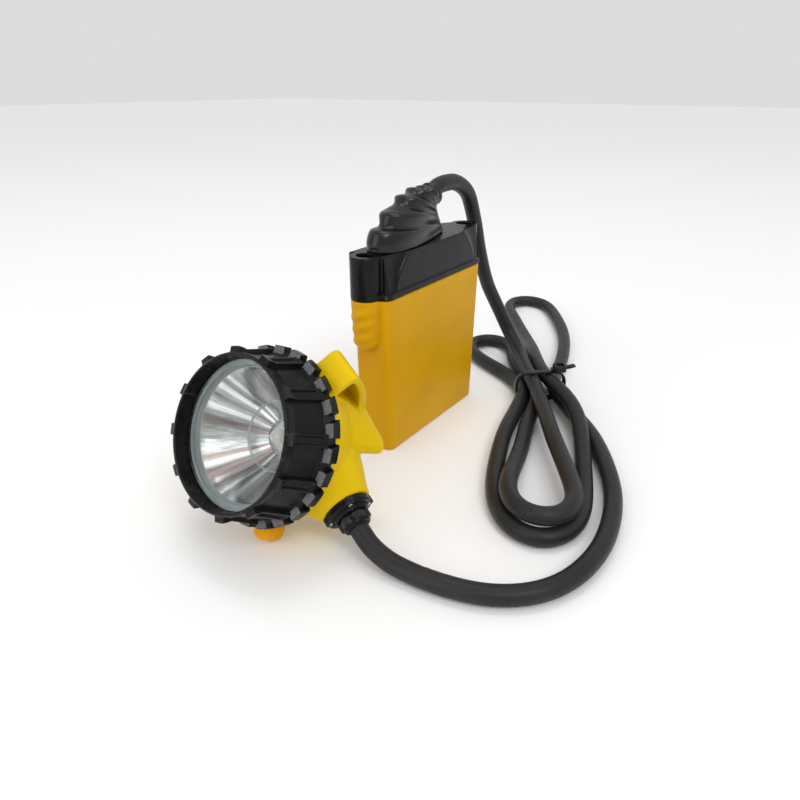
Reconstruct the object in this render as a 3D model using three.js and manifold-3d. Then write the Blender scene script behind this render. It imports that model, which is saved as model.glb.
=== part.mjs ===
// Miner's cap lamp: a belt battery, a headpiece and the cable that joins them.
// Millimetres, +Z up. The battery stands on its base; the headpiece rests on its switch knob
// with the lens towards -X. The origin is the middle of the ground under both of them.
import * as THREE from 'three';
import { mergeVertices } from 'three/addons/utils/BufferGeometryUtils.js';
import Module from 'manifold-3d';

const wasm = await Module();
wasm.setup();

// Driving dimensions
const GAP = 0.3; // clearance between touching pieces
const CABLE = 9; // outer diameter of the cable
const WIRE = 1.8; // outer diameter of a wire inside
const CASE = { length: 96, foot: 91, depth: 23, height: 88, wall: 2, endWall: 3, base: 2.5, corner: 4 };
const LID = { height: 22, wall: 2.4, corner: 5, boss: 8, bossSide: 1.5, lip: 2.2, screwX: 48 };
const CELL = { radius: 9.1, length: 65, pitch: 19 };
const BATTERY_AT = [54.35, 8.82, 0]; // centre of the battery's base
const HEAD_AT = [-72.05, 3.82, 47]; // lens axis where the bezel meets the housing
const HEAD_TURN = 177.44; // degrees about Z, from +X to the way the lamp shines
const HEAD_TILT = 27.46; // degrees that the lens looks up
const HEAD_ROLL = -30.5; // degrees about the lens axis
const BEZEL = { depth: 25.5, front: 32.4, waist: 36.4, rear: 37.6, lug: 40, bore: 33.1 };
const LENS = { radius: 32, back: 16.3, thickness: 2.8 };
const REFLECTOR = { mouth: 28.8, mouthAt: 15.4, step: 14.5, stepAt: -1.3, foot: 7.8, footAt: -5 };
const GLAND = { x: -21.5, seat: 40.9, radius: 10.8, flange: 3.4, nut: 6.8, nutRadius: 7.6 };
const KNOB = { x: -8.1, angle: 50, radius: 7.2, foot: 37, end: 46.3, shaft: 2, socket: 6.2 };
const HOOK_WIDTH = 17.6;
const HANK = { at: [-15.4, -102.7], turn: 21.8, layer: 10.4, height: 19 };
const TIE = { at: [145, 6], turn: 20, room: 15, width: 4.6, thickness: 1.3 };

// Sections of the rubber boot, each from a point of its crown to one of its straight flank, [x, height]
const BOOT = {
  crown: [
    [-44, 0], [-44.6, 4], [-42.4, 11], [-38.5, 14], [-36.4, 18.5], [-31, 20], [-28, 23.6], [-21.6, 24],
    [-17, 26], [-10.4, 25], [-5.6, 26.6], [-0.6, 25.4], [4, 26],
  ],
  flank: [
    [15.4, 0], [15.2, 1.6], [15, 3.2], [14.7, 4.8], [14.4, 6.4], [14, 8], [13.6, 9.6], [13.1, 11.2],
    [12.6, 12.6], [12, 13.8], [11.4, 14.8], [10.8, 15.6], [10.2, 16.2],
  ],
  half: [9.8, 10, 9.3, 9.4, 8.7, 8.9, 8.2, 8.4, 7.7, 7.7, 7, 6.4, 6.2],
};

// Points that the free stretches of the cable pass through
const CABLE_FRONT = [
  [-67.2, -40.9, 13.6], [-69.4, -49.2, 9.4], [-69.8, -59, 6.2], [-68.8, -71, 4.8], [-67.2, -85, 4.8],
  [-61.2, -103, 4.8], [-47.7, -118.6, 4.8], [-31.2, -126, 4.8], [-9.2, -128.6, 4.8], [15.8, -125.4, 4.8],
  [38.8, -118, 4.8], [55.8, -109.2, 4.8], [69.6, -101, 4.8],
];
const CABLE_BACK = [
  [62.4, 9, 131.9], [69, 9.2, 134.8], [79, 9.6, 135.7], [91, 10.3, 134.4], [105.8, 11, 127],
  [118.8, 12.3, 109], [130.8, 13.5, 86], [142.8, 12.4, 62], [154.3, 7, 40], [159.8, 1.5, 24.4],
];

const COLOURS = {
  yellow: [0xd9a800, 0.42, 0],
  black: [0x232426, 0.4, 0],
  rubber: [0x1a1a1c, 0.55, 0],
  cable: [0x303234, 0.5, 0],
  glass: [0xdfe8ea, 0.05, 0],
  mirror: [0xe6e6e6, 0.08, 1],
  steel: [0xb4b6b8, 0.3, 1],
  nickel: [0xc8c4b8, 0.3, 1],
  brass: [0xc9a24a, 0.3, 1],
  aluminium: [0xc0c4c8, 0.35, 1],
  board: [0x1f6b3a, 0.5, 0],
  wrap: [0x2f7fb8, 0.4, 0],
  plastic: [0x8d9298, 0.5, 0],
  ceramic: [0xf2edc8, 0.4, 0],
  foam: [0x4a4a4a, 0.9, 0],
  red: [0xb02020, 0.5, 0],
};

const radians = THREE.MathUtils.degToRad;
const lamp = new THREE.Group();

function material(name) {
  const [color, roughness, metalness] = COLOURS[name];
  return new THREE.MeshStandardMaterial({ color, roughness, metalness });
}

// Solid of a closed geometry, for joining and cutting
function solid(geometry) {
  const bare = new THREE.BufferGeometry();
  bare.setAttribute('position', geometry.getAttribute('position').clone());
  if (geometry.index) bare.setIndex(geometry.index.clone());
  const merged = mergeVertices(bare, 1e-4);
  const vertProperties = new Float32Array(merged.getAttribute('position').array);
  const triVerts = new Uint32Array(merged.index.array);
  return new wasm.Manifold(new wasm.Mesh({ numProp: 3, vertProperties, triVerts }));
}

function geometryOf(shape) {
  const mesh = shape.getMesh();
  const geometry = new THREE.BufferGeometry();
  geometry.setAttribute('position', new THREE.BufferAttribute(new Float32Array(mesh.vertProperties), 3));
  geometry.setIndex(new THREE.BufferAttribute(new Uint32Array(mesh.triVerts), 1));
  geometry.computeVertexNormals();
  return geometry;
}

function join(first, ...others) {
  return geometryOf(others.reduce((sum, each) => sum.add(solid(each)), solid(first)));
}

function cut(first, ...others) {
  return geometryOf(others.reduce((rest, each) => rest.subtract(solid(each)), solid(first)));
}

function add(group, name, geometry, look) {
  const mesh = new THREE.Mesh(geometry, material(look));
  mesh.name = name;
  group.add(mesh);
  return mesh;
}

function block(size, centre) {
  return new THREE.BoxGeometry(...size).translate(...centre);
}

// Upright cylinder from z = low to z = high
function post(radius, low, high, x = 0, y = 0, sides = 24) {
  const geometry = new THREE.CylinderGeometry(radius, radius, high - low, sides);
  return geometry.rotateX(Math.PI / 2).translate(x, y, (low + high) / 2);
}

function roundedRect(width, height, radius) {
  const [w, h] = [width / 2, height / 2];
  const shape = new THREE.Shape();
  shape.moveTo(-w + radius, -h);
  shape.lineTo(w - radius, -h);
  shape.absarc(w - radius, -h + radius, radius, -Math.PI / 2, 0);
  shape.lineTo(w, h - radius);
  shape.absarc(w - radius, h - radius, radius, 0, Math.PI / 2);
  shape.lineTo(-w + radius, h);
  shape.absarc(-w + radius, h - radius, radius, Math.PI / 2, Math.PI);
  shape.lineTo(-w, -h + radius);
  shape.absarc(-w + radius, -h + radius, radius, Math.PI, Math.PI * 1.5);
  return shape;
}

// Upright slab of an outline from z = low to z = high
function slab(shape, low, high, curveSegments = 5) {
  const options = { depth: high - low, bevelEnabled: false, curveSegments };
  return new THREE.ExtrudeGeometry(shape, options).translate(0, 0, low);
}

// Body turned about the X axis, from pairs of [x, radius]
function turned(pairs, sides = 60) {
  const points = pairs.map(([x, radius]) => new THREE.Vector2(radius, x));
  return new THREE.LatheGeometry(points, sides).rotateZ(-Math.PI / 2);
}

// Turned ring with a rectangular section
function ring(inner, outer, low, high, sides = 40) {
  return turned([[low, inner], [low, outer], [high, outer], [high, inner], [low, inner]], sides);
}

// Closed skin over a row of rings that have the same number of points
function loft(rings) {
  const count = rings[0].length;
  const points = rings.flat();
  const faces = [];
  for (let i = 0; i < rings.length - 1; i += 1) {
    for (let j = 0; j < count; j += 1) {
      const a = i * count + j;
      const b = i * count + ((j + 1) % count);
      faces.push(a, b, b + count, a, b + count, a + count);
    }
  }
  const last = (rings.length - 1) * count;
  for (let j = 1; j < count - 1; j += 1) {
    faces.push(0, j + 1, j, last, last + j, last + j + 1);
  }
  const geometry = new THREE.BufferGeometry().setFromPoints(points);
  geometry.setIndex(faces);
  geometry.computeVertexNormals();
  return geometry;
}

// Round cord along a smooth curve through the given points
function cord(points, diameter, steps, sides = 10) {
  const path = new THREE.CatmullRomCurve3(points.map((p) => new THREE.Vector3(...p)), false, 'centripetal');
  const radius = diameter / 2;
  const section = new THREE.Shape(circle(sides, (x, y) => new THREE.Vector2(radius * x, radius * y)));
  return new THREE.ExtrudeGeometry(section, { steps, extrudePath: path, bevelEnabled: false });
}

function circle(count, place) {
  return Array.from({ length: count }, (_, i) => {
    const angle = (2 * Math.PI * i) / count;
    return place(Math.cos(angle), Math.sin(angle));
  });
}

// ---------------------------------------------------------------- battery

function batteryCase() {
  const outer = loft([[CASE.foot, 0], [CASE.length, CASE.height]].map(([length, z]) => {
    const outline = roundedRect(length, CASE.depth, CASE.corner).getPoints(6);
    return outline.slice(0, -1).map((p) => new THREE.Vector3(p.x, p.y, z));
  }));
  const room = [CASE.foot - 2 * CASE.endWall, CASE.depth - 2 * CASE.wall];
  const inside = slab(roundedRect(...room, CASE.corner - CASE.wall), CASE.base, CASE.height + 1);
  const pads = [-1, 1].map((side) => screwPad(side));
  const body = solid(outer).add(solid(pads[0])).add(solid(pads[1])).subtract(solid(inside));
  const sockets = [-1, 1].map((side) => {
    return solid(post(2.4, CASE.height - 8, CASE.height + 1, side * LID.screwX, LID.bossSide, 20));
  });
  return geometryOf(body.subtract(sockets[0]).subtract(sockets[1]));
}

// Half-round pad at the end of the case that takes a lid screw; it tapers in towards its foot
function screwPad(side) {
  const rings = [[62, 1.6], [65, 4.4], [70, 6.4], [80, 7.6], [CASE.height, LID.boss]];
  const sections = rings.map(([z, radius]) => {
    return circle(20, (across, along) => {
      const x = side * LID.screwX + radius * across;
      return new THREE.Vector3(x, LID.bossSide + radius * along, z);
    });
  });
  return loft(sections);
}

function batteryLid() {
  const low = CASE.height + GAP;
  const high = CASE.height + LID.height;
  const lip = slab(roundedRect(CASE.length + 0.6, CASE.depth + 0.6, LID.corner), low, low + LID.lip, 6);
  const crown = slab(roundedRect(CASE.length - 4, CASE.depth, LID.corner + 1), low, high, 6);
  const rail = block([CASE.length - 10, 4, 14], [0, CASE.depth / 2 + 1.2, high - 7.5]);
  let body = solid(lip).add(solid(crown)).add(solid(rail));
  const inner = roundedRect(CASE.length - 18, CASE.depth - 2 * LID.wall, 3);
  const hollow = solid(slab(inner, low - 1, high - LID.wall - 1));
  body = body.subtract(hollow);
  for (const side of [-1, 1]) {
    body = body.add(solid(post(LID.boss, low, high, side * LID.screwX, LID.bossSide, 28)));
    body = body.subtract(solid(post(4.4, high - 14, high + 1, side * LID.screwX, LID.bossSide, 24)));
    body = body.subtract(solid(post(1.8, low - 1, high, side * LID.screwX, LID.bossSide, 16)));
  }
  const hole = solid(post(6.2, high - 8, high + 1, -16, 0, 24));
  return geometryOf(body.subtract(hole));
}

function lidGasket() {
  const outer = slab(roundedRect(84.4, 18.2, 2), CASE.height - 2.2, CASE.height);
  const inner = slab(roundedRect(80.4, 14.6, 1.5), CASE.height - 3, CASE.height + 1);
  return cut(outer, inner);
}

function lidScrew(side) {
  const floor = CASE.height + LID.height - 14;
  const head = post(3.2, floor + GAP, floor + 3, side * LID.screwX, LID.bossSide, 20);
  const shank = post(1.4, CASE.height - 5.5, floor + 1, side * LID.screwX, LID.bossSide, 14);
  const slot = block([7, 0.9, 1], [side * LID.screwX, LID.bossSide, floor + 2.8]);
  return cut(join(head, shank), slot);
}

function screwInsert(side) {
  const sleeve = post(2.1, CASE.height - 7.6, CASE.height - 0.3, side * LID.screwX, LID.bossSide, 18);
  return cut(sleeve, post(1.7, CASE.height - 9, CASE.height + 1, side * LID.screwX, LID.bossSide, 14));
}

function cellX(index) {
  return (index - 1.5) * CELL.pitch;
}

function cell(index) {
  const low = CASE.base + 3;
  const can = post(CELL.radius, low, low + CELL.length, cellX(index), 0, 28);
  return join(can, post(3, low + CELL.length - 1, low + CELL.length + 1, cellX(index), 0, 16));
}

function cellTray() {
  const plate = slab(roundedRect(84.4, 18.2, 2), CASE.base + GAP, CASE.base + 2.2);
  return cut(plate, block([60, 6, 6], [0, 0, CASE.base]));
}

function cellStrap() {
  const z = CASE.base + 3 + CELL.length + 1.5;
  return block([3 * CELL.pitch + 7, 7, 0.5], [0, 0, z + 0.05]);
}

function protectionBoard() {
  const z = CASE.base + 3 + CELL.length + 3;
  const board = block([64, 15, 1.6], [0, 0, z]);
  const chip = block([8, 6, 1.6], [-14, 0, z + 1.4]);
  const shunt = block([5, 7, 1.4], [4, 0, z + 1.3]);
  const fuse = block([9, 4, 1.8], [18, 0, z + 1.5]);
  return join(board, chip, shunt, fuse);
}

function foamPad() {
  return block([58, 14, 5], [0, 0, CASE.base + CELL.length + 13]);
}

// Section of the boot as an ellipse, from its crown to its flank
function bootSection(start, end, half) {
  const middle = [(start[0] + end[0]) / 2, (start[1] + end[1]) / 2];
  return circle(24, (along, across) => {
    const x = middle[0] + ((end[0] - start[0]) / 2) * along;
    const z = middle[1] + ((end[1] - start[1]) / 2) * along;
    return new THREE.Vector3(x, half * across, z + CASE.height + LID.height + GAP);
  });
}

function cableBoot() {
  return loft(BOOT.crown.map((start, i) => bootSection(start, BOOT.flank[i], BOOT.half[i])));
}

function bootClamp() {
  const z = CASE.height + LID.height - LID.wall - 1;
  const nut = post(8.4, z - 3.4, z - GAP, -16, 0, 6);
  return cut(nut, post(4.9, z - 6, z + 1, -16, 0, 20));
}

function bootStem() {
  const top = CASE.height + LID.height;
  const stem = post(5.9, top - 3.2, top, -16, 0, 24);
  const tail = post(4.6, top - 9.5, top - 3, -16, 0, 20);
  return cut(join(stem, tail), post(3, top - 10, top - 5, -16, 0, 16));
}

// Wire from the protection board up past the foam pad to the cable's core
function batteryLead(side) {
  const low = CASE.base + CELL.length + 7.4;
  const points = [
    [31, side * 4, low], [32, side * 4, low + 6], [20, side * 2, low + 14], [-12, side * 1.6, low + 15],
  ];
  return cord(points, WIRE, 10, 8);
}

function addBattery() {
  const battery = new THREE.Group();
  battery.position.set(...BATTERY_AT);
  add(battery, 'battery_case', batteryCase(), 'yellow');
  add(battery, 'battery_lid', batteryLid(), 'black');
  add(battery, 'lid_gasket', lidGasket(), 'rubber');
  for (const [side, name] of [[-1, 'near'], [1, 'far']]) {
    add(battery, `lid_screw_${name}`, lidScrew(side), 'steel');
    add(battery, `screw_insert_${name}`, screwInsert(side), 'brass');
  }
  for (let i = 0; i < 4; i += 1) add(battery, `cell_${i + 1}`, cell(i), 'wrap');
  add(battery, 'cell_tray', cellTray(), 'plastic');
  add(battery, 'cell_strap', cellStrap(), 'nickel');
  add(battery, 'protection_board', protectionBoard(), 'board');
  add(battery, 'foam_pad', foamPad(), 'foam');
  add(battery, 'cable_boot', cableBoot(), 'rubber');
  add(battery, 'boot_stem', bootStem(), 'black');
  add(battery, 'boot_nut', bootClamp(), 'black');
  add(battery, 'lead_positive', batteryLead(1), 'red');
  add(battery, 'lead_negative', batteryLead(-1), 'rubber');
  lamp.add(battery);
}

// -------------------------------------------------------------- headpiece
// In the headpiece's own frame +X is the way the lamp shines, +Y is the way the cable leaves
// and +Z is the side of the helmet hook. x = 0 is the joint of the bezel and the housing.

function bezelRing() {
  const rim = BEZEL.front;
  const outside = [
    [0, BEZEL.rear - 1.2], [1.2, BEZEL.rear], [4.2, BEZEL.rear], [6, BEZEL.waist], [20.5, BEZEL.waist - 2.2],
    [23.5, BEZEL.waist - 2.4], [BEZEL.depth - 0.8, rim + 0.6], [BEZEL.depth, rim - 0.2],
  ];
  const inside = [
    [BEZEL.depth - 0.5, rim - 0.9], [19.4, LENS.radius - 0.6], [19.4, LENS.radius + GAP], [15, LENS.radius + GAP],
    [14.4, BEZEL.bore], [0, BEZEL.bore],
  ];
  let body = solid(turned([...outside, ...inside, outside[0]], 48));
  for (let i = 0; i < 24; i += 1) body = body.add(solid(rearLug(i)));
  for (let i = 0; i < 12; i += 1) body = body.add(solid(gripRib(i)));
  return geometryOf(body);
}

function rearLug(index) {
  const lug = block([4.2, 6.6, 4.4], [2.7, 0, BEZEL.lug - 2.2]);
  return lug.rotateX(radians(index * 15 + 7.5));
}

function gripRib(index) {
  const bar = [
    [4.6, BEZEL.waist - 1], [4.6, BEZEL.lug - 1.2], [7, BEZEL.lug - 1.8], [20.5, BEZEL.waist - 0.2],
    [24.4, BEZEL.waist - 0.4], [24.4, BEZEL.front - 0.2], [14, BEZEL.waist - 2.6],
  ];
  const shape = new THREE.Shape(bar.map(([x, radius]) => new THREE.Vector2(x, radius)));
  const options = { depth: 4.6, bevelEnabled: false };
  const rib = new THREE.ExtrudeGeometry(shape, options).translate(0, 0, -2.3).rotateX(Math.PI / 2);
  return rib.rotateX(radians(index * 30 + 15));
}

function lens() {
  const { radius, back, thickness } = LENS;
  const front = back + thickness;
  return turned([[back, 0], [back, radius], [front - 1, radius], [front, radius - 1.6], [front, 0]], 48);
}

function lensGasket() {
  return ring(REFLECTOR.mouth + 1, LENS.radius - 0.4, REFLECTOR.mouthAt + GAP, LENS.back - GAP);
}

function reflector() {
  const { mouth, mouthAt, step, stepAt, foot, footAt } = REFLECTOR;
  const skin = 1.1;
  return turned([
    [mouthAt, mouth], [stepAt, step], [footAt, foot], [footAt, foot + skin], [stepAt, step + skin],
    [mouthAt - 2, mouth + skin - 0.4], [mouthAt - 1.2, mouth + 2.6], [mouthAt, mouth + 2.6], [mouthAt, mouth],
  ], 40);
}

function ledBoard() {
  const x = REFLECTOR.footAt - GAP;
  return turned([[x - 1.6, 0], [x - 1.6, 12.8], [x, 12.8], [x, 0]], 40);
}

function ledEmitter() {
  const x = REFLECTOR.footAt;
  const base = block([1.6, 9, 9], [x + 0.8, 0, 0]);
  const dome = new THREE.SphereGeometry(3.4, 20, 12).translate(x + 1.4, 0, 0);
  return cut(join(base, dome), block([6, 12, 12], [x - 3, 0, 0]));
}

function heatSink() {
  const x = REFLECTOR.footAt - GAP - 1.9;
  const disc = turned([[x - 2, 0], [x - 2, 15], [x, 15], [x, 0]], 40);
  const fins = Array.from({ length: 5 }, (_, i) => block([9, 1.6, 20], [x - 6.2, (i - 2) * 4.6, 0]));
  return join(disc, ...fins);
}

function driverBoard() {
  const x = -25;
  const disc = turned([[x - 1.4, 0], [x - 1.4, 13], [x, 13], [x, 0]], 32);
  const coil = block([1.5, 6, 6], [x - 2, 4, 0]);
  return join(disc, coil, block([1.2, 4, 5], [x - 1.9, -5, 2]));
}

// Wire from the cable's core in the gland to the back of the driver board
function headWire(side) {
  const start = [GLAND.x - 0.1, GLAND.seat - 8.7, side * 1.7];
  const bends = [[-23.2, 26, side * 2.2], [-26.5, 19, side * 3], [-28.2, 14.5, side * 3.6]];
  return cord([start, ...bends, [-27.9, 9.4, side * 4]], WIRE, 10, 8);
}

// The housing: a bowl behind the bezel, drawn out to one side into the neck of the cable gland
function neckRings(shrink) {
  const sizes = [[4, -13, 23.6], [19, -14.4, 22.4], [25, -16, 20.4], [30, -17.6, 17.8], [35.5, -19.8, 14.4]];
  const rings = [...sizes, [40.6 + (shrink > 0 ? 2 : 0), GLAND.x, 11.8]];
  return rings.map(([y, x, radius]) => {
    const size = radius - shrink;
    return circle(28, (across, along) => new THREE.Vector3(x + size * along, y, size * across));
  });
}

function hookBand() {
  const outline = new THREE.Shape();
  outline.moveTo(-1.9, 28);
  outline.lineTo(-2.2, 34.6);
  outline.lineTo(-5.2, 44.6);
  outline.quadraticCurveTo(-6.4, 47.8, -9.6, 47);
  outline.quadraticCurveTo(-21, 43, -29.4, 32.4);
  outline.lineTo(-33.4, 27);
  outline.lineTo(-30, 22);
  outline.lineTo(-6, 24);
  const window = new THREE.Path();
  window.moveTo(-5.4, 35.6);
  window.lineTo(-25.4, 30.4);
  window.quadraticCurveTo(-18.6, 39.8, -9.6, 43.6);
  window.lineTo(-8, 43.4);
  outline.holes.push(window);
  const options = { depth: HOOK_WIDTH, bevelEnabled: false, curveSegments: 6 };
  const band = new THREE.ExtrudeGeometry(outline, options).translate(0, 0, -HOOK_WIDTH / 2);
  return band.rotateX(Math.PI / 2);
}

// Gusset that runs from the hook's heel along the housing and ends in a rounded point
function hookGusset() {
  const outline = new THREE.Shape();
  outline.moveTo(-12, -HOOK_WIDTH / 2);
  outline.lineTo(-33, -HOOK_WIDTH / 2);
  outline.lineTo(-33.6, 8);
  outline.lineTo(-37, 25);
  outline.quadraticCurveTo(-37.6, 29.8, -33.6, 30.2);
  outline.lineTo(-20, 30);
  outline.lineTo(-12, 25);
  const options = { depth: 9, bevelEnabled: false, curveSegments: 5 };
  return new THREE.ExtrudeGeometry(outline, options).translate(0, 0, 18.4);
}

// Profile of the bowl's outside, let out by a margin, with its spigot for the bezel
function bowl(margin) {
  const skin = [[-33.6, 15], [-31, 21], [-25, 28], [-15, 33], [-6, 35], [-1.7, 35.6]];
  const spigot = [[-1.7, BEZEL.bore - GAP], [14, BEZEL.bore - GAP], [14, 0]];
  const back = -33.6 - margin;
  return turned([[back, 0], [back, 15], ...skin.map(([x, radius]) => [x, radius + margin]), ...spigot], 40);
}

function bowlRoom() {
  return turned([[-31, 0], [-31, 13], [-26, 22], [-14, 29], [-4, 31.2], [16, 31.2], [16, 0]], 40);
}

// Radial frame of the knob: +Z out of the housing, at the knob's place round the lens axis
function knobPlace(geometry) {
  return geometry.rotateX(radians(-90 - KNOB.angle)).translate(KNOB.x, 0, 0);
}

function headHousing() {
  const boss = knobPlace(post(6.4, 24, KNOB.foot - GAP, 0, 0, 24));
  const shell = join(bowl(0), loft(neckRings(0)), boss);
  const bore = knobPlace(post(KNOB.shaft + GAP, 20, 40, 0, 0, 24));
  return cut(shell, bowlRoom(), loft(neckRings(2.4)), bore);
}

// The hook is a bracket of its own that lies on the housing
function helmetHook() {
  const bracket = join(hookBand(), hookGusset());
  return cut(bracket, bowl(GAP), bowlRoom(), loft(neckRings(-GAP)));
}

function knob() {
  const { radius, foot, end, shaft, socket } = KNOB;
  const points = [
    [0, foot + socket], [shaft + GAP, foot + socket], [shaft + GAP, foot],
    [radius, foot], [radius, foot + 2], [radius - 1.1, end - 2.2],
    [radius - 1.9, end - 0.7], [radius - 3.4, end], [0, end],
  ].map(([x, y]) => new THREE.Vector2(x, y));
  return knobPlace(new THREE.LatheGeometry(points, 32).rotateX(Math.PI / 2));
}

function knobShaft() {
  return knobPlace(post(KNOB.shaft, 26.4, KNOB.foot + KNOB.socket - GAP, 0, 0, 24));
}

function switchBody() {
  return knobPlace(block([10, 10, 5], [0, 0, 23.4]));
}

function glandFlange() {
  const low = GLAND.seat;
  const high = low + GLAND.flange;
  const disc = post(GLAND.radius, low, high, 0, 0, 40);
  const collar = post(8.2, high - 0.5, high + 1.6, 0, 0, 32);
  let body = solid(disc).add(solid(collar)).subtract(solid(post(5.3, low - 1, high + 4, 0, 0, 24)));
  for (let i = 0; i < 4; i += 1) {
    const [x, y] = screwSpot(i);
    body = body.subtract(solid(post(1.25, high - 1.4, high + 2, x, y, 12)));
  }
  return glandPlace(geometryOf(body));
}

function screwSpot(index) {
  const angle = radians(45 + index * 90);
  return [9.4 * Math.cos(angle), 9.4 * Math.sin(angle)];
}

function glandPlace(geometry) {
  return geometry.rotateX(-Math.PI / 2).translate(GLAND.x, 0, 0);
}

function flangeScrews() {
  const high = GLAND.seat + GLAND.flange;
  return Array.from({ length: 4 }, (_, i) => {
    const [x, y] = screwSpot(i);
    return glandPlace(post(1, high - 1.1, high + 0.3, x, y, 10));
  });
}

function glandNut() {
  const low = GLAND.seat + GLAND.flange + 1.6 + GAP;
  const high = low + GLAND.nut - 1.6;
  const hexagon = post(GLAND.nutRadius, low, high - 1.6, 0, 0, 6);
  const nose = post(6.4, high - 2, high, 0, 0, 28);
  return glandPlace(cut(join(hexagon, nose), post(5.3, low - 1, high + 1, 0, 0, 24)));
}

function glandBush() {
  const low = GLAND.seat - 8;
  const high = GLAND.seat + GLAND.flange + GLAND.nut + 0.4;
  return glandPlace(post(5, low, high, 0, 0, 24));
}

function addHead() {
  const head = new THREE.Group();
  head.position.set(...HEAD_AT);
  head.rotation.set(radians(HEAD_ROLL), radians(-HEAD_TILT), radians(HEAD_TURN), 'ZYX');
  add(head, 'bezel_ring', bezelRing(), 'black');
  add(head, 'bezel_seal', ring(BEZEL.bore, 35.4, -1.4, -GAP), 'rubber');
  add(head, 'lens', lens(), 'glass');
  add(head, 'lens_gasket', lensGasket(), 'rubber');
  add(head, 'reflector', reflector(), 'mirror');
  add(head, 'led_emitter', ledEmitter(), 'ceramic');
  add(head, 'led_board', ledBoard(), 'aluminium');
  add(head, 'heat_sink', heatSink(), 'aluminium');
  add(head, 'driver_board', driverBoard(), 'board');
  add(head, 'head_wire_positive', headWire(1), 'red');
  add(head, 'head_wire_negative', headWire(-1), 'rubber');
  add(head, 'head_housing', headHousing(), 'yellow');
  add(head, 'helmet_hook', helmetHook(), 'yellow');
  add(head, 'switch_knob', knob(), 'yellow');
  add(head, 'knob_shaft', knobShaft(), 'steel');
  add(head, 'switch_body', switchBody(), 'black');
  add(head, 'gland_flange', glandFlange(), 'black');
  flangeScrews().forEach((screw, i) => add(head, `flange_screw_${i + 1}`, screw, 'steel'));
  add(head, 'gland_nut', glandNut(), 'black');
  add(head, 'gland_bush', glandBush(), 'rubber');
  lamp.add(head);
}

// ------------------------------------------------------------------ cable
// The cable lies on the ground between the two, folded into a hank that a cable tie holds.

function stadium(from, to, radius) {
  const angle = Math.atan2(to[1] - from[1], to[0] - from[0]);
  const shape = new THREE.Shape();
  shape.absarc(...to, radius, angle - Math.PI / 2, angle + Math.PI / 2);
  shape.absarc(...from, radius, angle + Math.PI / 2, angle + Math.PI * 1.5);
  return shape;
}

// Places a piece drawn along the hank, with x = 0 at its near fold
function hankPlace(geometry) {
  return geometry.rotateZ(radians(HANK.turn)).translate(...HANK.at, 0);
}

// Places a piece drawn along the cable tie's way through, with its origin at the tie
function tiePlace(geometry) {
  return hankPlace(geometry.rotateZ(radians(TIE.turn)).translate(...TIE.at, 0));
}

function cableBundle() {
  const { height, layer } = HANK;
  const lowerRun = slab(stadium([16.5, 1.5], [100, 1.5], 26.5), 0.2, height, 10);
  const leadIn = slab(stadium([86, -28], [130, -12], 6), 0.2, layer, 5);
  const longLoop = slab(stadium([200, 5], [325, 21], 20.5), 0.2, layer, 8);
  const shortLoop = slab(stadium([165, 20], [222, 41], 19), 0.2, height, 8);
  const neck = block([84, 2 * TIE.room, height - 2.2], [0, 0, height / 2 + 0.9]);
  return join(tiePlace(neck), ...[lowerRun, leadIn, longLoop, shortLoop].map(hankPlace));
}

function cableTie() {
  const [inner, outer] = [TIE.room + 0.4, TIE.room + 0.4 + TIE.thickness];
  const [low, high] = [0.4, HANK.height + GAP + TIE.thickness];
  const band = block([TIE.width, 2 * outer, high - low], [0, 0, (high + low) / 2]);
  const room = block([TIE.width + 2, 2 * inner, high - low - 2 * TIE.thickness], [0, 0, (high + low) / 2]);
  const head = block([6.6, 7.4, 4.6], [0, -outer + 5, high + 1.6]);
  const tail = block([TIE.width - 0.6, 10, TIE.thickness], [0, -outer - 2, high + 1.4]);
  return tiePlace(join(cut(band, room), head, tail));
}

function addCable() {
  add(lamp, 'cable_front', cord(CABLE_FRONT, CABLE, 22), 'cable');
  add(lamp, 'cable_back', cord(CABLE_BACK, CABLE, 18), 'cable');
  add(lamp, 'cable_bundle', cableBundle(), 'cable');
  add(lamp, 'cable_tie', cableTie(), 'black');
}

addBattery();
addHead();
addCable();

export default lamp;
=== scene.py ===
"""Looks of a miner's cap lamp: battery, headpiece and the cable between them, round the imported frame."""
import math

import bmesh
import bpy
import numpy as np
from mathutils import Matrix, Vector


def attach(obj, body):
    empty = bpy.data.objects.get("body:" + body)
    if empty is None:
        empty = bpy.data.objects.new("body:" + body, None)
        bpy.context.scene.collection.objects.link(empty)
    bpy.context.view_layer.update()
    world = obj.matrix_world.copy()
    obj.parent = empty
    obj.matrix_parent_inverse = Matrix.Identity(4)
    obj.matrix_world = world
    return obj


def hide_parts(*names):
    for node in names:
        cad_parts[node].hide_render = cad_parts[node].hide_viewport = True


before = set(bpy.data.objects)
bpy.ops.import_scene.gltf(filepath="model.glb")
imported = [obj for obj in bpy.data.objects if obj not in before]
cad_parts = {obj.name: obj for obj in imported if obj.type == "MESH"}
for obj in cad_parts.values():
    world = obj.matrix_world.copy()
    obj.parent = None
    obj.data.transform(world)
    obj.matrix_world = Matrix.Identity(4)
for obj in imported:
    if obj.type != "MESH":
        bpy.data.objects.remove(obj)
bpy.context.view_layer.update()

MM = 0.001

# Places of the three assemblies, as the frame has them. Shapes below are in millimetres.
BATTERY_AT = (54.35, 8.82, 0)
HEAD_AT = (-72.05, 3.82, 47)
HEAD_TURN, HEAD_TILT, HEAD_ROLL = 177.44, 27.46, -30.5
HANK_AT, HANK_TURN = (-15.4, -102.7, 0), 21.8
TIE_AT, TIE_TURN = (145, 6, 0), 20

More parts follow.
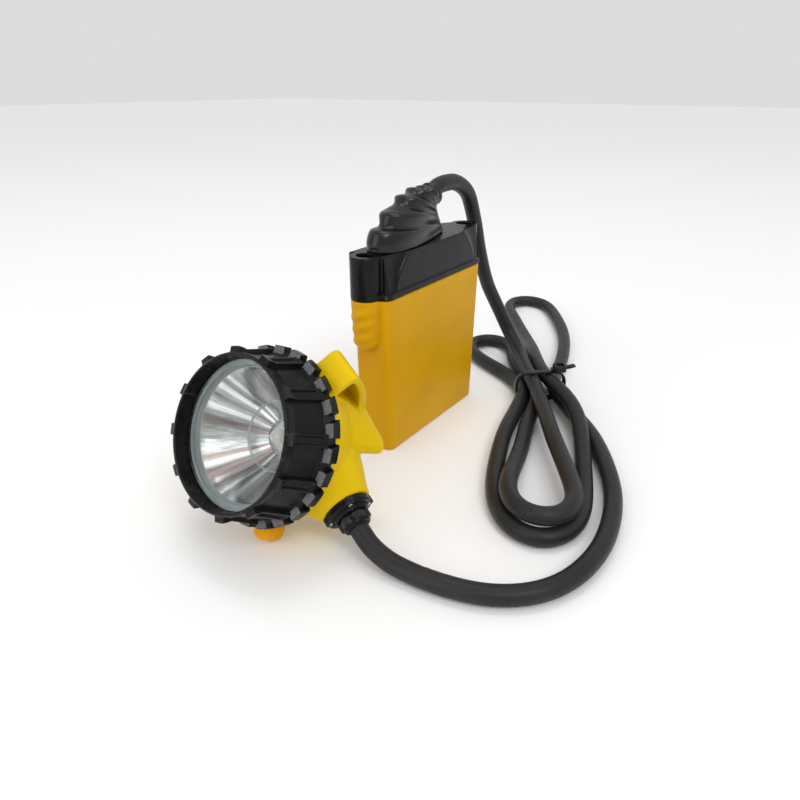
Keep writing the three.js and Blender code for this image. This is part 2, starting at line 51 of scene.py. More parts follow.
CASE = {"length": 96, "foot": 91, "depth": 23, "height": 88, "wall": 2, "base": 2.5, "corner": 4}
LID = {"low": 88.3, "high": 110, "corner": 5, "boss": 8, "boss_side": 1.5, "screw_x": 48}
BEZEL = {"depth": 25.5, "waist": 36.4, "lug": 40, "bore": 33.1}
LENS = {"radius": 32, "back": 16.3, "thickness": 2.8}
GLAND = {"x": -21.5, "seat": 40.9, "radius": 10.8, "flange": 3.4, "nut": 7.6}
KNOB = {"x": -8.1, "angle": 50, "foot": 37, "socket": 6.2}
HOOK_WIDTH = 17.6
CABLE = 9

# Points that the cable passes through: the free lead from the headpiece, the hank in its own
# frame, and the free lead up to the battery, which is written from the battery outwards
LEAD_FRONT = [
    (-67.2, -40.9, 13.6), (-69.4, -49.2, 9.4), (-69.8, -59, 6.2), (-68.8, -71, 4.8), (-67.2, -85, 4.8),
    (-61.2, -103, 4.8), (-47.7, -118.6, 4.8), (-31.2, -126, 4.8), (-9.2, -128.6, 4.8), (15.8, -125.4, 4.8),
    (38.8, -118, 4.8), (55.8, -109.2, 4.8), (69.6, -101, 4.8),
]
LEAD_BACK = [
    (62.4, 9, 131.9), (69, 9.2, 134.8), (79, 9.6, 135.7), (91, 10.3, 134.4), (105.8, 11, 127),
    (118.8, 12.3, 109), (130.8, 13.5, 86), (142.8, 12.4, 62), (154.3, 7, 40), (159.8, 1.5, 24.4),
]
LONG_LOOP = [
    (100, -25, 4.7), (122, -15.6, 4.7), (148.3, -3.4, 6.3), (166, -2.6, 5), (190, -6.4, 4.7),
    (222, -9.4, 4.7), (256, -9.2, 4.7), (288, -4.5, 4.7), (314, 1.4, 4.7), (331, 7.6, 4.7), (340.4, 22, 4.7),
    (333, 36.6, 4.7), (315, 39.6, 4.7), (292, 33.5, 4.7), (258, 24.5, 4.7), (226, 17, 7), (202, 13.5, 11.5),
    (178, 10, 14), (162, 6.4, 14.4), (146.7, 1.2, 14.6),
]
OUTER_TURN = [
    (128, -9.4, 14.2), (108, -16.6, 12.6), (86, -19.6, 8), (62, -20.4, 4.9), (38, -20.4, 4.7),
    (18, -18.6, 4.7), (2.5, -12, 4.7), (-4, 0, 4.7), (1, 12, 4.7), (14, 20, 4.7), (34, 24, 4.7),
    (62, 24.6, 4.7), (92, 23, 4.7), (118, 18.8, 4.9), (141.7, 15.4, 6.3),
]
SHORT_LOOP = [
    (158, 20.6, 5), (174, 32.5, 4.7), (190, 48, 4.7), (205, 58.6, 4.7), (221, 61, 4.7), (232.6, 52, 4.7),
    (232, 38, 4.7), (219, 29.4, 4.7), (198, 26.8, 4.7), (179, 21.4, 4.7), (163, 12.8, 5), (145, 6.2, 6.3),
]
INNER_TURN = [
    (122, 8.6, 4.9), (98, 11.4, 4.7), (76, 12.6, 4.9), (54, 14.4, 7.5), (34, 16.6, 12), (17, 16.9, 13.7),
    (4.4, 11.6, 13.8), (-0.6, 0.6, 13.8), (4.4, -10.4, 13.7), (17, -15.4, 13.4), (44, -11, 12.6),
    (74, -4, 12.8), (100, 1, 13.2), (122, 6, 14), (143.3, 10.8, 14.6),
]
TOP_RUN = [(160, 15.6, 14.2), (177, 19.6, 13.8), (191, 23.4, 15)]
PATH_STEP = 1.5
SETTLING_ROUNDS = 160


def placed(at, turn=0.0, tilt=0.0, roll=0.0):
    """From millimetres in a part's own frame to metres in the row frame."""
    turned_by = Matrix.Rotation(math.radians(turn), 4, "Z") @ Matrix.Rotation(math.radians(-tilt), 4, "Y")
    rolled = turned_by @ Matrix.Rotation(math.radians(roll), 4, "X")
    return Matrix.Translation(Vector(at) * MM) @ rolled @ Matrix.Scale(MM, 4)


BATTERY = placed(BATTERY_AT)
HEAD = placed(HEAD_AT, HEAD_TURN, HEAD_TILT, HEAD_ROLL)
HANK = placed(HANK_AT, HANK_TURN)
TIE = HANK @ Matrix.Translation(TIE_AT) @ Matrix.Rotation(math.radians(TIE_TURN), 4, "Z")


# ---------------------------------------------------------------- camera, light and floor

CAMERA_AT = (-0.23105, -0.17898, 0.1859)
CAMERA_PITCH, CAMERA_YAW = 62.8, -54.65
CAMERA_LENS, CAMERA_SENSOR = 27.9, 36
# Studio panels, in metres and watts: place, size and power, each turned to the middle of the lamp
LIT_MIDDLE = (0.05, -0.02, 0.05)
PANELS = {
    "key": ((-0.5, -1.1, 1.25), (0.45, 0.45), 4),
    "fill": ((-1.3, 0.35, 0.7), (0.9, 1.2), 5),
    "top": ((0.25, 0.1, 1.6), (0.6, 0.4), 3),
}
SUN_POWER, SUN_SPREAD, SUN_LEAN = 0.5, 40, (28, -18, 0)
WORLD_STRENGTH = 0.72
FLOOR_HALF = 6


def make_camera():
    data = bpy.data.cameras.new("camera")
    data.lens = CAMERA_LENS
    data.sensor_width = CAMERA_SENSOR
    data.clip_start = 0.01
    data.clip_end = 50
    camera = bpy.data.objects.new("camera", data)
    bpy.context.scene.collection.objects.link(camera)
    camera.location = CAMERA_AT
    camera.rotation_euler = (math.radians(CAMERA_PITCH), 0, math.radians(CAMERA_YAW))
    bpy.context.scene.camera = camera


def area_light(name, at, size, power):
    data = bpy.data.lights.new(name, "AREA")
    data.shape = "RECTANGLE"
    data.size, data.size_y = size
    data.energy = power
    light = bpy.data.objects.new(name, data)
    bpy.context.scene.collection.objects.link(light)
    light.location = at
    light.rotation_euler = (Vector(LIT_MIDDLE) - Vector(at)).to_track_quat("-Z", "Y").to_euler()


def make_lights():
    for name, (at, size, power) in PANELS.items():
        area_light(name, at, size, power)
    sun = bpy.data.lights.new("sun", "SUN")
    sun.energy = SUN_POWER
    sun.angle = math.radians(SUN_SPREAD)
    lamp = bpy.data.objects.new("sun", sun)
    bpy.context.scene.collection.objects.link(lamp)
    lamp.rotation_euler = [math.radians(angle) for angle in SUN_LEAN]
    world = bpy.data.worlds.new("studio")
    world.use_nodes = True
    background = world.node_tree.nodes["Background"]
    background.inputs["Color"].default_value = (1, 1, 1, 1)
    background.inputs["Strength"].default_value = WORLD_STRENGTH
    bpy.context.scene.world = world
    bpy.context.scene.view_settings.view_transform = "Standard"


def make_floor():
    corners = [(sx * FLOOR_HALF, sy * FLOOR_HALF, 0) for sx, sy in ((-1, -1), (1, -1), (1, 1), (-1, 1))]
    mesh = bpy.data.meshes.new("floor")
    mesh.from_pydata(corners, [], [(0, 1, 2, 3)])
    floor = bpy.data.objects.new("floor", mesh)
    bpy.context.scene.collection.objects.link(floor)
    floor.location.z = -0.0002
    material = bpy.data.materials.new("pale_floor")
    material.use_nodes = True
    shader = material.node_tree.nodes["Principled BSDF"]
    shader.inputs["Base Color"].default_value = (0.93, 0.93, 0.93, 1)
    shader.inputs["Roughness"].default_value = 0.6
    mesh.materials.append(material)


# ---------------------------------------------------------------- materials


class Finish:
    """A material under construction: its node tree, its shader and short ways to add nodes."""

    def __init__(self, name, colour, roughness, metallic=0.0, specular=0.5):
        self.material = bpy.data.materials.new(name)
        self.material.use_nodes = True
        self.nodes = self.material.node_tree.nodes
        self.links = self.material.node_tree.links
        self.shader = self.nodes["Principled BSDF"]
        self.set("Base Color", (*colour, 1))
        self.set("Roughness", roughness)
        self.set("Metallic", metallic)
        self.set("Specular IOR Level", specular)

    def set(self, socket, value):
        self.shader.inputs[socket].default_value = value

    def node(self, kind, **inputs):
        made = self.nodes.new(kind)
        for name, value in inputs.items():
            made.inputs[name.replace("_", " ")].default_value = value
        return made

    def place(self, scale=(1, 1, 1)):
        """The piece's own coordinates, stretched."""
        coordinates = self.nodes.new("ShaderNodeTexCoord")
        mapping = self.node("ShaderNodeMapping", Scale=scale)
        self.links.new(coordinates.outputs["Object"], mapping.inputs["Vector"])
        return mapping.outputs["Vector"]

    def noise(self, scale, detail=3.0, roughness=0.5, where=None, distortion=0.0):
        made = self.node(
            "ShaderNodeTexNoise", Scale=scale, Detail=detail, Roughness=roughness, Distortion=distortion
        )
        self.links.new(where or self.place(), made.inputs["Vector"])
        return made.outputs["Fac"]

    def range(self, value, low, high, to_low, to_high):
        made = self.node("ShaderNodeMapRange", From_Min=low, From_Max=high, To_Min=to_low, To_Max=to_high)
        self.links.new(value, made.inputs["Value"])
        return made.outputs["Result"]

    def blend(self, factor, first, second):
        """Colour between two, each a colour or an output."""
        made = self.nodes.new("ShaderNodeMix")
        made.data_type = "RGBA"
        self.links.new(factor, made.inputs["Factor"])
        for socket, colour in (("A", first), ("B", second)):
            target = next(i for i in made.inputs if i.name == socket and i.type == "RGBA")
            if isinstance(colour, tuple):
                target.default_value = (*colour, 1)
            else:
                self.links.new(colour, target)
        return next(o for o in made.outputs if o.type == "RGBA")

    def combine(self, kind, first, second):
        made = self.nodes.new("ShaderNodeMath")
        made.operation = kind
        for socket, value in zip(made.inputs, (first, second)):
            if isinstance(value, (int, float)):
                socket.default_value = value
            else:
                self.links.new(value, socket)
        return made.outputs["Value"]

    def attribute(self, name):
        made = self.nodes.new("ShaderNodeAttribute")
        made.attribute_name = name
        return made

    def edges(self):
        """Convexity of the surface: above a half on outer edges, below it in creases."""
        return self.nodes.new("ShaderNodeNewGeometry").outputs["Pointiness"]

    def drive(self, socket, value):
        self.links.new(value, self.shader.inputs[socket])

    def bump(self, height, strength, depth):
        made = self.node("ShaderNodeBump", Strength=strength, Distance=depth)
        self.links.new(height, made.inputs["Height"])
        before = self.shader.inputs["Normal"].links
        if before:
            self.links.new(before[0].from_socket, made.inputs["Normal"])
        self.links.new(made.outputs["Normal"], self.shader.inputs["Normal"])


def yellow_plastic(name, colour):
    """Satin moulded nylon: a fine spark texture, soft mottling, light scuffs, and painted shade that darkens
    the creases.
    """
    made = Finish(name, colour, 0.4, specular=0.13)
    broad = made.noise(28, 2, 0.5)
    deeper = tuple(c * 0.9 for c in colour)
    tone = made.blend(made.range(broad, 0.35, 0.7, 0, 1), deeper, colour)
    # painted shade: concave creases are darkened to half the colour
    painted_crease_shade = made.range(made.edges(), 0.42, 0.49, 1, 0)
    tone = made.blend(painted_crease_shade, tone, tuple(c * 0.5 for c in colour))
    wear = made.combine("MULTIPLY", made.range(made.edges(), 0.53, 0.6, 0, 0.5), made.noise(900, 2))
    tone = made.blend(wear, tone, tuple(min(1.0, c * 1.25 + 0.02) for c in colour))
    made.drive("Base Color", tone)
    scuff = made.noise(60, 4, 0.6, made.place((1, 1, 4)), 0.6)
    made.drive("Roughness", made.range(scuff, 0.3, 0.72, 0.34, 0.5))
    made.bump(made.noise(2600, 2, 0.5), 0.1, 0.00004)
    made.bump(made.noise(120, 2, 0.5), 0.12, 0.0001)
    return made.material


def black_plastic(name, shine):
    """Moulded black nylon with faint flow marks and handling scuffs."""
    made = Finish(name, (0.006, 0.006, 0.0065), shine, specular=0.17)
    flow = made.noise(45, 3, 0.5, made.place((1, 1, 0.5)), 0.8)
    tone = made.blend(made.range(flow, 0.35, 0.7, 0, 1), (0.004, 0.004, 0.0045), (0.008, 0.008, 0.0085))
    worn = made.combine("MULTIPLY", made.range(made.edges(), 0.53, 0.6, 0, 0.8), made.noise(700, 3))
    made.drive("Base Color", made.blend(worn, tone, (0.09, 0.09, 0.092)))
    scuff = made.noise(180, 5, 0.65, made.place((1, 3, 1)), 0.5)
    made.drive("Roughness", made.range(scuff, 0.3, 0.75, shine - 0.06, shine + 0.16))
    made.bump(made.noise(3000, 2, 0.5), 0.1, 0.00003)
    made.bump(flow, 0.08, 0.0002)
    return made.material


def bezel_plastic():
    """As the other black plastic, with a painted sheen where the band attribute is set: a rough, lighter
    speckled grey on the lugs' front faces.
    """
    made = Finish("bezel_plastic", (0.006, 0.006, 0.0065), 0.28, specular=0.16)
    band = made.attribute("band").outputs["Fac"]
    grain = made.noise(1400, 4, 0.7)
    flow = made.noise(60, 3, 0.5, distortion=0.8)
    tone = made.blend(made.range(flow, 0.35, 0.7, 0, 1), (0.004, 0.004, 0.0045), (0.008, 0.008, 0.0085))
    worn = made.combine("MULTIPLY", made.range(made.edges(), 0.53, 0.6, 0, 0.7), made.noise(800, 3))
    tone = made.blend(worn, tone, (0.10, 0.10, 0.102))
    # painted sheen: lighter speckled grey that stands for the light catching the lugs' front faces
    painted_sheen_speckle = made.blend(made.range(grain, 0.35, 0.65, 0, 1), (0.08, 0.081, 0.084), (0.19, 0.192, 0.198))
    made.drive("Base Color", made.blend(band, tone, painted_sheen_speckle))
    smooth = made.range(made.noise(200, 5, 0.65), 0.3, 0.75, 0.2, 0.4)
    rough = made.combine("MULTIPLY", band, 0.45)
    made.drive("Roughness", made.combine("ADD", smooth, rough))
    made.bump(made.combine("MULTIPLY", grain, band), 0.5, 0.0002)
    made.bump(made.noise(3000, 2, 0.5), 0.08, 0.00003)
    return made.material


def boot_rubber():
    """Glossy moulded rubber with mould flow and dust in the folds."""
    made = Finish("boot_rubber", (0.007, 0.007, 0.007), 0.2, specular=0.36)
    flow = made.noise(70, 3, 0.5, made.place((1, 1, 2)), 1.0)
    dust = made.combine("MULTIPLY", made.range(made.edges(), 0.4, 0.48, 0.7, 0), made.noise(500, 4))
    tone = made.blend(made.range(flow, 0.3, 0.7, 0, 1), (0.005, 0.005, 0.005), (0.009, 0.009, 0.009))
    made.drive("Base Color", made.blend(dust, tone, (0.07, 0.068, 0.064)))
    made.drive("Roughness", made.range(made.noise(140, 4, 0.6), 0.3, 0.7, 0.16, 0.32))
    made.bump(flow, 0.15, 0.0004)
    made.bump(made.noise(2200, 2), 0.12, 0.00004)
    return made.material


def cable_rubber():
    """Grey-black cable sheath: satin, with scuffs, pale scratches and a little dust."""
    made = Finish("cable_rubber", (0.022, 0.022, 0.0225), 0.42, specular=0.25)
    broad = made.noise(35, 3, 0.5)
    tone = made.blend(made.range(broad, 0.3, 0.7, 0, 1), (0.013, 0.013, 0.0135), (0.023, 0.0225, 0.0225))
    scuff = made.noise(260, 6, 0.72, distortion=1.2)
    tone = made.blend(made.range(scuff, 0.66, 0.8, 0, 0.6), tone, (0.16, 0.15, 0.135))
    made.drive("Base Color", tone)
    made.drive("Roughness", made.range(made.noise(420, 5, 0.7), 0.3, 0.75, 0.34, 0.56))
    made.bump(made.noise(1500, 4, 0.6), 0.25, 0.00006)
    made.bump(scuff, 0.12, 0.0001)
    return made.material


def soft_rubber(name, colour=(0.012, 0.012, 0.012)):
    """Plain rubber of seals and sleeves, with a fine grain."""
    made = Finish(name, colour, 0.6, specular=0.35)
    tint = tuple(c * 1.8 + 0.004 for c in colour)
    made.drive("Base Color", made.blend(made.noise(300, 4), colour, tint))
    made.drive("Roughness", made.range(made.noise(500, 4), 0.3, 0.7, 0.5, 0.72))
    made.bump(made.noise(2000, 3), 0.2, 0.00005)
    return made.material


def lens_glass():
    """Clear glass with a faint green-grey tint and a few fingerprints in its polish."""
    made = Finish("lens_glass", (0.93, 0.965, 0.96), 0.0, specular=0.5)
    made.set("Transmission Weight", 1.0)
    made.set("IOR", 1.46)
    smear = made.noise(90, 5, 0.6, distortion=0.7)
    made.drive("Roughness", made.range(smear, 0.55, 0.8, 0.0, 0.06))
    return made.material


def mirror_film():
    """Vapour-coated reflector: painted reflections streak it lengthwise, bright and dark, with a warm painted
    reflection in places, and satin edges.
    """
    made = Finish("mirror_film", (0.9, 0.9, 0.9), 0.1, metallic=1.0)
    wave = made.node("ShaderNodeTexNoise", Scale=1.6, Detail=5.0, Roughness=0.65)
    made.links.new(made.attribute("around").outputs["Vector"], wave.inputs["Vector"])
    streak = wave.outputs["Fac"]
    fine = made.range(streak, 0.3, 0.7, -0.28, 0.28)
    # painted reflection: the light attribute and the noise streaks set the mirror's colour from dark grey to
    # white
    light = made.combine("ADD", made.attribute("light").outputs["Fac"], fine)
    tone = made.blend(made.range(light, 0, 1, 0, 1), (0.10, 0.095, 0.09), (0.98, 0.98, 0.98))
    # painted reflection: a warm tint where the warm attribute is set
    painted_warm_reflection = made.combine("MULTIPLY", made.attribute("warm").outputs["Fac"], 0.6)
    tone = made.blend(painted_warm_reflection, tone, (0.62, 0.30, 0.27))
    rim = made.attribute("rim").outputs["Fac"]
    made.drive("Base Color", made.blend(rim, tone, (0.52, 0.55, 0.56)))
    made.drive("Metallic", made.range(rim, 0, 1, 1, 0.2))
    polish = made.range(streak, 0.3, 0.7, 0.1, 0.24)
    made.drive("Roughness", made.combine("ADD", polish, made.combine("MULTIPLY", rim, 0.25)))
    made.bump(streak, 0.08, 0.0004)
    return made.material


def plain_metal(name, colour, roughness, stretch=(1, 1, 14)):
    """Brushed or turned metal with drawn-out grain."""
    made = Finish(name, colour, roughness, metallic=1.0)
    grain = made.noise(700, 3, 0.6, made.place(stretch))
    darker = tuple(c * 0.72 for c in colour)
    made.drive("Base Color", made.blend(grain, colour, darker))
    made.drive("Roughness", made.range(grain, 0.3, 0.7, roughness - 0.08, roughness + 0.12))
    made.bump(grain, 0.12, 0.00003)
    return made.material


def speckled(name, colour, other, roughness, scale):
    """Painted, printed or moulded small part with a two-tone speckle."""
    made = Finish(name, colour, roughness)
    speck = made.noise(scale, 4, 0.65)
    made.drive("Base Color", made.blend(made.range(speck, 0.38, 0.62, 0, 1), colour, other))
    made.drive("Roughness", made.range(speck, 0.3, 0.7, roughness - 0.1, roughness + 0.12))
    made.bump(speck, 0.15, 0.00006)
    return made.material


def emitter_phosphor():
    """Yellow phosphor under a clear silicone dome."""
    made = Finish("emitter_phosphor", (0.9, 0.88, 0.8), 0.12)
    made.set("Coat Weight", 1.0)
    made.set("Subsurface Weight", 0.3)
    made.set("Subsurface Scale", 0.002)
    cells = made.node("ShaderNodeTexVoronoi", Scale=1500.0)
    made.links.new(made.place(), cells.inputs["Vector"])
    made.drive("Base Color", made.blend(cells.outputs["Distance"], (0.94, 0.93, 0.88), (0.78, 0.76, 0.66)))
    return made.material


def foam_sponge():
    made = Finish("foam_sponge", (0.07, 0.07, 0.07), 0.9, specular=0.2)
    cells = made.node("ShaderNodeTexVoronoi", Scale=900.0)
    made.links.new(made.place(), cells.inputs["Vector"])
    made.drive("Base Color", made.blend(cells.outputs["Distance"], (0.03, 0.03, 0.03), (0.1, 0.1, 0.1)))
    made.bump(cells.outputs["Distance"], 0.6, 0.0004)
    return made.material


# ---------------------------------------------------------------- mesh building


def show(name, mesh, matrix, material, smooth):
    """A finished mesh as an object in the row frame."""
    mesh.transform(matrix)
    mesh.materials.clear()
    mesh.materials.append(material)
    made = bpy.data.objects.new(name, mesh)
    bpy.context.scene.collection.objects.link(made)
    mesh.shade_smooth()
    if smooth < 180:
        mesh.set_sharp_from_angle(angle=math.radians(smooth))
    return made


def mesh_of(points, faces):
    mesh = bpy.data.meshes.new("part")
    mesh.from_pydata([tuple(p) for p in points], [], faces)
    mesh.validate()
    mesh.update()
    return mesh


def grid_faces(rows, columns, close_rows=False):
    """Quads over a grid of points that closes along its columns."""
    faces = []
    for i in range(rows if close_rows else rows - 1):
        for j in range(columns):
            k = (j + 1) % columns
            low, high = i * columns, ((i + 1) % rows) * columns
            faces.append((low + j, low + k, high + k, high + j))
    return faces


def facing_out(mesh, weld=True):
    """Turns every face outwards, after joining points that meet."""
    work = bmesh.new()
    work.from_mesh(mesh)
    if weld:
        bmesh.ops.remove_doubles(work, verts=work.verts, dist=1e-5)
    bmesh.ops.recalc_face_normals(work, faces=work.faces)
    work.to_mesh(mesh)
    work.free()
    return mesh


def rounded(points, radius, steps, closed=True):
    """A polygon with its corners rounded off; radius is one number or one for each point."""
    points = [Vector(p) for p in points]
    count = len(points)
    radii = radius if isinstance(radius, (list, tuple)) else [radius] * count
    out = []
    for i, corner in enumerate(points):
        if not closed and i in (0, count - 1):
            out.append(corner)
            continue
        before, after = points[i - 1] - corner, points[(i + 1) % count] - corner
        reach = min(radii[i], 0.48 * before.length, 0.48 * after.length)
        if reach < 1e-3:
            out.append(corner)
            continue
        start, end = corner + before.normalized() * reach, corner + after.normalized() * reach
        for k in range(steps + 1):
            t = k / steps
            out.append(start * (1 - t) ** 2 + corner * 2 * t * (1 - t) + end * t**2)
    return out


def circle(sides):
    """Evenly spaced angles of one whole turn."""
    return [2 * math.pi * j / sides for j in range(sides)]


def turned(profile, sides):
    """Body turned about X from (x, radius) pairs that run in a closed loop or end on the axis."""
    angles = circle(sides)
    points = [(x, r * math.cos(a), r * math.sin(a)) for x, r in profile for a in angles]
    ends_on_axis = abs(profile[0][1]) < 1e-6 and abs(profile[-1][1]) < 1e-6
    return facing_out(mesh_of(points, grid_faces(len(profile), sides, not ends_on_axis)))


def lofted(rings):
    """Solid through rings of points, closed by flat ends."""
    count = len(rings[0])
    points = [p for ring in rings for p in ring]
    faces = grid_faces(len(rings), count)
    faces.append(tuple(range(count))[::-1])
    faces.append(tuple(range(len(points) - count, len(points))))
    return facing_out(mesh_of(points, faces))


def slab(outline, low, high):
    """Upright slab of an (x, y) outline."""
    return lofted([[(p[0], p[1], z) for p in outline] for z in (low, high)])


def cylinder(radius, low, high, x=0.0, y=0.0, sides=64):
    """Upright cylinder."""
    ring = [(x + radius * math.cos(a), y + radius * math.sin(a)) for a in circle(sides)]
    return slab(ring, low, high)


def box_mesh(size, centre):
    w, d = size[0] / 2, size[1] / 2
    outline = [(centre[0] + sx * w, centre[1] + sy * d) for sx, sy in ((-1, -1), (1, -1), (1, 1), (-1, 1))]
    return slab(outline, centre[2] - size[2] / 2, centre[2] + size[2] / 2)


def round_rectangle(width, depth, radius):
    """Outline of a rectangle with round corners, about the origin."""
    steps = 10
    out = []
    for sx, sy, start in ((1, -1, -90), (1, 1, 0), (-1, 1, 90), (-1, -1, 180)):
        for k in range(steps + 1):
            angle = math.radians(start + 90 * k / steps)
            x = sx * (width / 2 - radius) + radius * math.cos(angle)
            y = sy * (depth / 2 - radius) + radius * math.sin(angle)
            out.append((x, y))
    return out


def moved(mesh, matrix):
    mesh.transform(matrix)
    return mesh


def scratch(mesh):
    made = bpy.data.objects.new("scratch", mesh)
    bpy.context.scene.collection.objects.link(made)
    return made


def evaluated(made):
    """The object's mesh with its modifiers applied; the object itself goes."""
    bpy.context.view_layer.update()
    ready = made.evaluated_get(bpy.context.evaluated_depsgraph_get())
    mesh = bpy.data.meshes.new_from_object(ready)
    bpy.data.objects.remove(made)
    return mesh


def combined(kind, first, others):
    """Joins or cuts closed meshes."""
    made = scratch(first)
    tools = [scratch(other) for other in others]
    for tool in tools:
        step = made.modifiers.new("join", "BOOLEAN")
        step.operation = kind
        step.solver = "EXACT"
        step.object = tool
    mesh = evaluated(made)
    for tool in tools:
        bpy.data.objects.remove(tool)
    return mesh


def joined(first, *others):
    return combined("UNION", first, others)


def cut(first, *others):
    return combined("DIFFERENCE", first, others)


def moulded(mesh, voxel, rounds):
    """The same solid with every edge softened, as it comes out of a mould."""
    made = scratch(mesh)
    remesh = made.modifiers.new("remesh", "REMESH")
    remesh.mode = "VOXEL"
    remesh.voxel_size = voxel
    remesh.use_smooth_shade = True
    relax = made.modifiers.new("relax", "SMOOTH")
    relax.iterations = rounds
    relax.factor = 0.5
    return evaluated(made)


def bevelled(mesh, width, segments):
    """The same solid with its sharp edges, of 30 degrees or more, rounded."""
    made = scratch(mesh)
    bevel = made.modifiers.new("bevel", "BEVEL")
    bevel.width = width
    bevel.segments = segments
    bevel.limit_method = "ANGLE"
    bevel.angle_limit = math.radians(30)
    bevel.harden_normals = False
    return evaluated(made)


def stand_for(made, body, slot, *nodes):
    """Has a piece ride on a body and stand in for nodes of the frame, which it hides; the slot is not used.
    """
    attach(made, body)
    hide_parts(*nodes)
    return made


# ---------------------------------------------------------------- cable


def smooth_path(points):
    """Centripetal Catmull-Rom curve through the points, sampled about every PATH_STEP."""
    points = [Vector(p) for p in points]
    points = [points[0] * 2 - points[1], *points, points[-1] * 2 - points[-2]]
    out = []
    for i in range(1, len(points) - 2):
        a, b, c, d = points[i - 1 : i + 3]
        t0 = 0.0
        t1 = t0 + (b - a).length ** 0.5
        t2 = t1 + (c - b).length ** 0.5
        t3 = t2 + (d - c).length ** 0.5
        count = max(2, round((c - b).length / PATH_STEP))
        for k in range(count):
            t = t1 + (t2 - t1) * k / count
            ab = a.lerp(b, (t - t0) / (t1 - t0))
            bc = b.lerp(c, (t - t1) / (t2 - t1))
            cd = c.lerp(d, (t - t2) / (t3 - t2))
            abc = ab.lerp(bc, (t - t0) / (t2 - t0))
            bcd = bc.lerp(cd, (t - t1) / (t3 - t1))
            out.append(abc.lerp(bcd, (t - t1) / (t2 - t1)))
    out.append(points[-2])
    return out


def cable_route():
    hank = LONG_LOOP + OUTER_TURN + SHORT_LOOP + INNER_TURN + TOP_RUN
    in_hank = [HANK @ Vector(p) / MM for p in hank]
    return [Vector(p) for p in LEAD_FRONT] + in_hank + [Vector(p) for p in LEAD_BACK[::-1]]


def settled(path):
    """The path with its crossings eased apart to one diameter and its bends evened out."""
    at = np.array([tuple(p) for p in path])
    count = len(at)
    index = np.arange(count)
    apart = np.abs(index[:, None] - index[None]) * PATH_STEP > 2.2 * CABLE
    spacing = CABLE + 0.02
    low = CABLE / 2 + 0.1
    front_held, back_held = 24, 90
    held = (index < front_held) | (index > count - back_held)
    home = at.copy()
    for _ in range(SETTLING_ROUNDS):
        even = at.copy()
        even[3:-3] = (at[:-6] + at[6:] + 4 * at[3:-3]) / 6
        gap = at[:, None] - at[None]
        distance = np.linalg.norm(gap, axis=2)
        close = apart & (distance < spacing)
        push = np.where(close, (spacing - distance) / np.maximum(distance, 0.5), 0)
        shove = (push[:, :, None] * gap).sum(axis=1) * 0.12
        length = np.linalg.norm(shove, axis=1, keepdims=True)
        shove *= np.minimum(1, 0.25 / np.maximum(length, 1e-9))
        at = at + (even - at) * 0.1 + shove + (home - at) * 0.004
        at[:, 2] = np.maximum(at[:, 2], low)
        at[held] = home[held]
    return [Vector(p) for p in at]


def make_cable(material):
    path = settled(smooth_path(cable_route()))
    curve = bpy.data.curves.new("cable", "CURVE")
    curve.dimensions = "3D"
    curve.bevel_depth = CABLE / 2 * MM
    curve.bevel_resolution = 8
    curve.use_fill_caps = True
    spline = curve.splines.new("POLY")
    spline.points.add(len(path) - 1)
    for point, at in zip(spline.points, path):
        point.co = (*(at * MM), 1)
    spline.use_smooth = True
    curve.materials.append(material)
    cable = bpy.data.objects.new("cable", curve)
    bpy.context.scene.collection.objects.link(cable)
    stand_for(cable, "lamp", "cable", "cable_front", "cable_back", "cable_bundle")
    length = sum((b - a).length for a, b in zip(path, path[1:])) * MM
    return cable, path, length


# ---------------------------------------------------------------- cable tie

TIE_ROOM = (15.4, 1.7, 19.3)  # half width, lowest and highest of the space inside the band
TIE_BAND = (4.6, 1.3)


def make_tie(material):
    half, low, high = TIE_ROOM
    width, thick = TIE_BAND
    inner = rounded([(-half, low), (half, low), (half, high), (-half, high)], 8, 8)
    middle = Vector((0, (low + high) / 2))
    outer = [middle + (p - middle) * (1 + thick / (p - middle).length) for p in inner]
    across = width / 2
    rings = [[(x, p.x, p.y) for p in ring] for x, ring in
             ((-across, inner), (-across, outer), (across, outer), (across, inner))]
    count = len(inner)
    points = [p for ring in rings for p in ring]
    band = bevelled(facing_out(mesh_of(points, grid_faces(4, count, True))), 0.35, 2)
    top = high + thick
    lock = rounded_box((6.6, 7.4, 4.6), (0, -half + 3.6, top + 1.6), 0.8)
    eye = rounded_box((width + 0.2, 5, 6), (0, -half + 3.2, top + 1.6), 0.3)
    lock = cut(lock, eye)
    tail_points = [
        (-half + 9, top + 0.9), (-half + 1, top + 1.6), (-half - 3, top + 2), (-half - 6.5, top + 3),
    ]
    tail = bevelled(strip(tail_points, width - 0.6, 1.1), 0.25, 2)
    tooth = (width - 1.6, 0.5, 0.4)
    teeth = [box_mesh(tooth, (0, -half - 1 - 1.1 * i, top + 2.5 + 0.2 * i)) for i in range(4)]
    mesh = joined(band, lock, tail, *teeth)
    tie = show("cable_tie_strap", mesh, TIE, material, 40)
    return stand_for(tie, "lamp", "black", "cable_tie")


def rounded_box(size, centre, radius):
    return bevelled(box_mesh(size, centre), radius, 3)


def strip(points, width, thick):
    """Flat strap along (y, z) points, as wide as said along X."""
    points = [Vector(p) for p in points]
    rings = []
    for i, point in enumerate(points):
        along = (points[min(i + 1, len(points) - 1)] - points[max(i - 1, 0)]).normalized()
        up = Vector((-along.y, along.x)) * thick / 2
        corners = ((-1, -1), (1, -1), (1, 1), (-1, 1))
        rings.append([(sx * width / 2, (point + up * sz).x, (point + up * sz).y) for sx, sz in corners])
    return lofted(rings)


# ---------------------------------------------------------------- battery


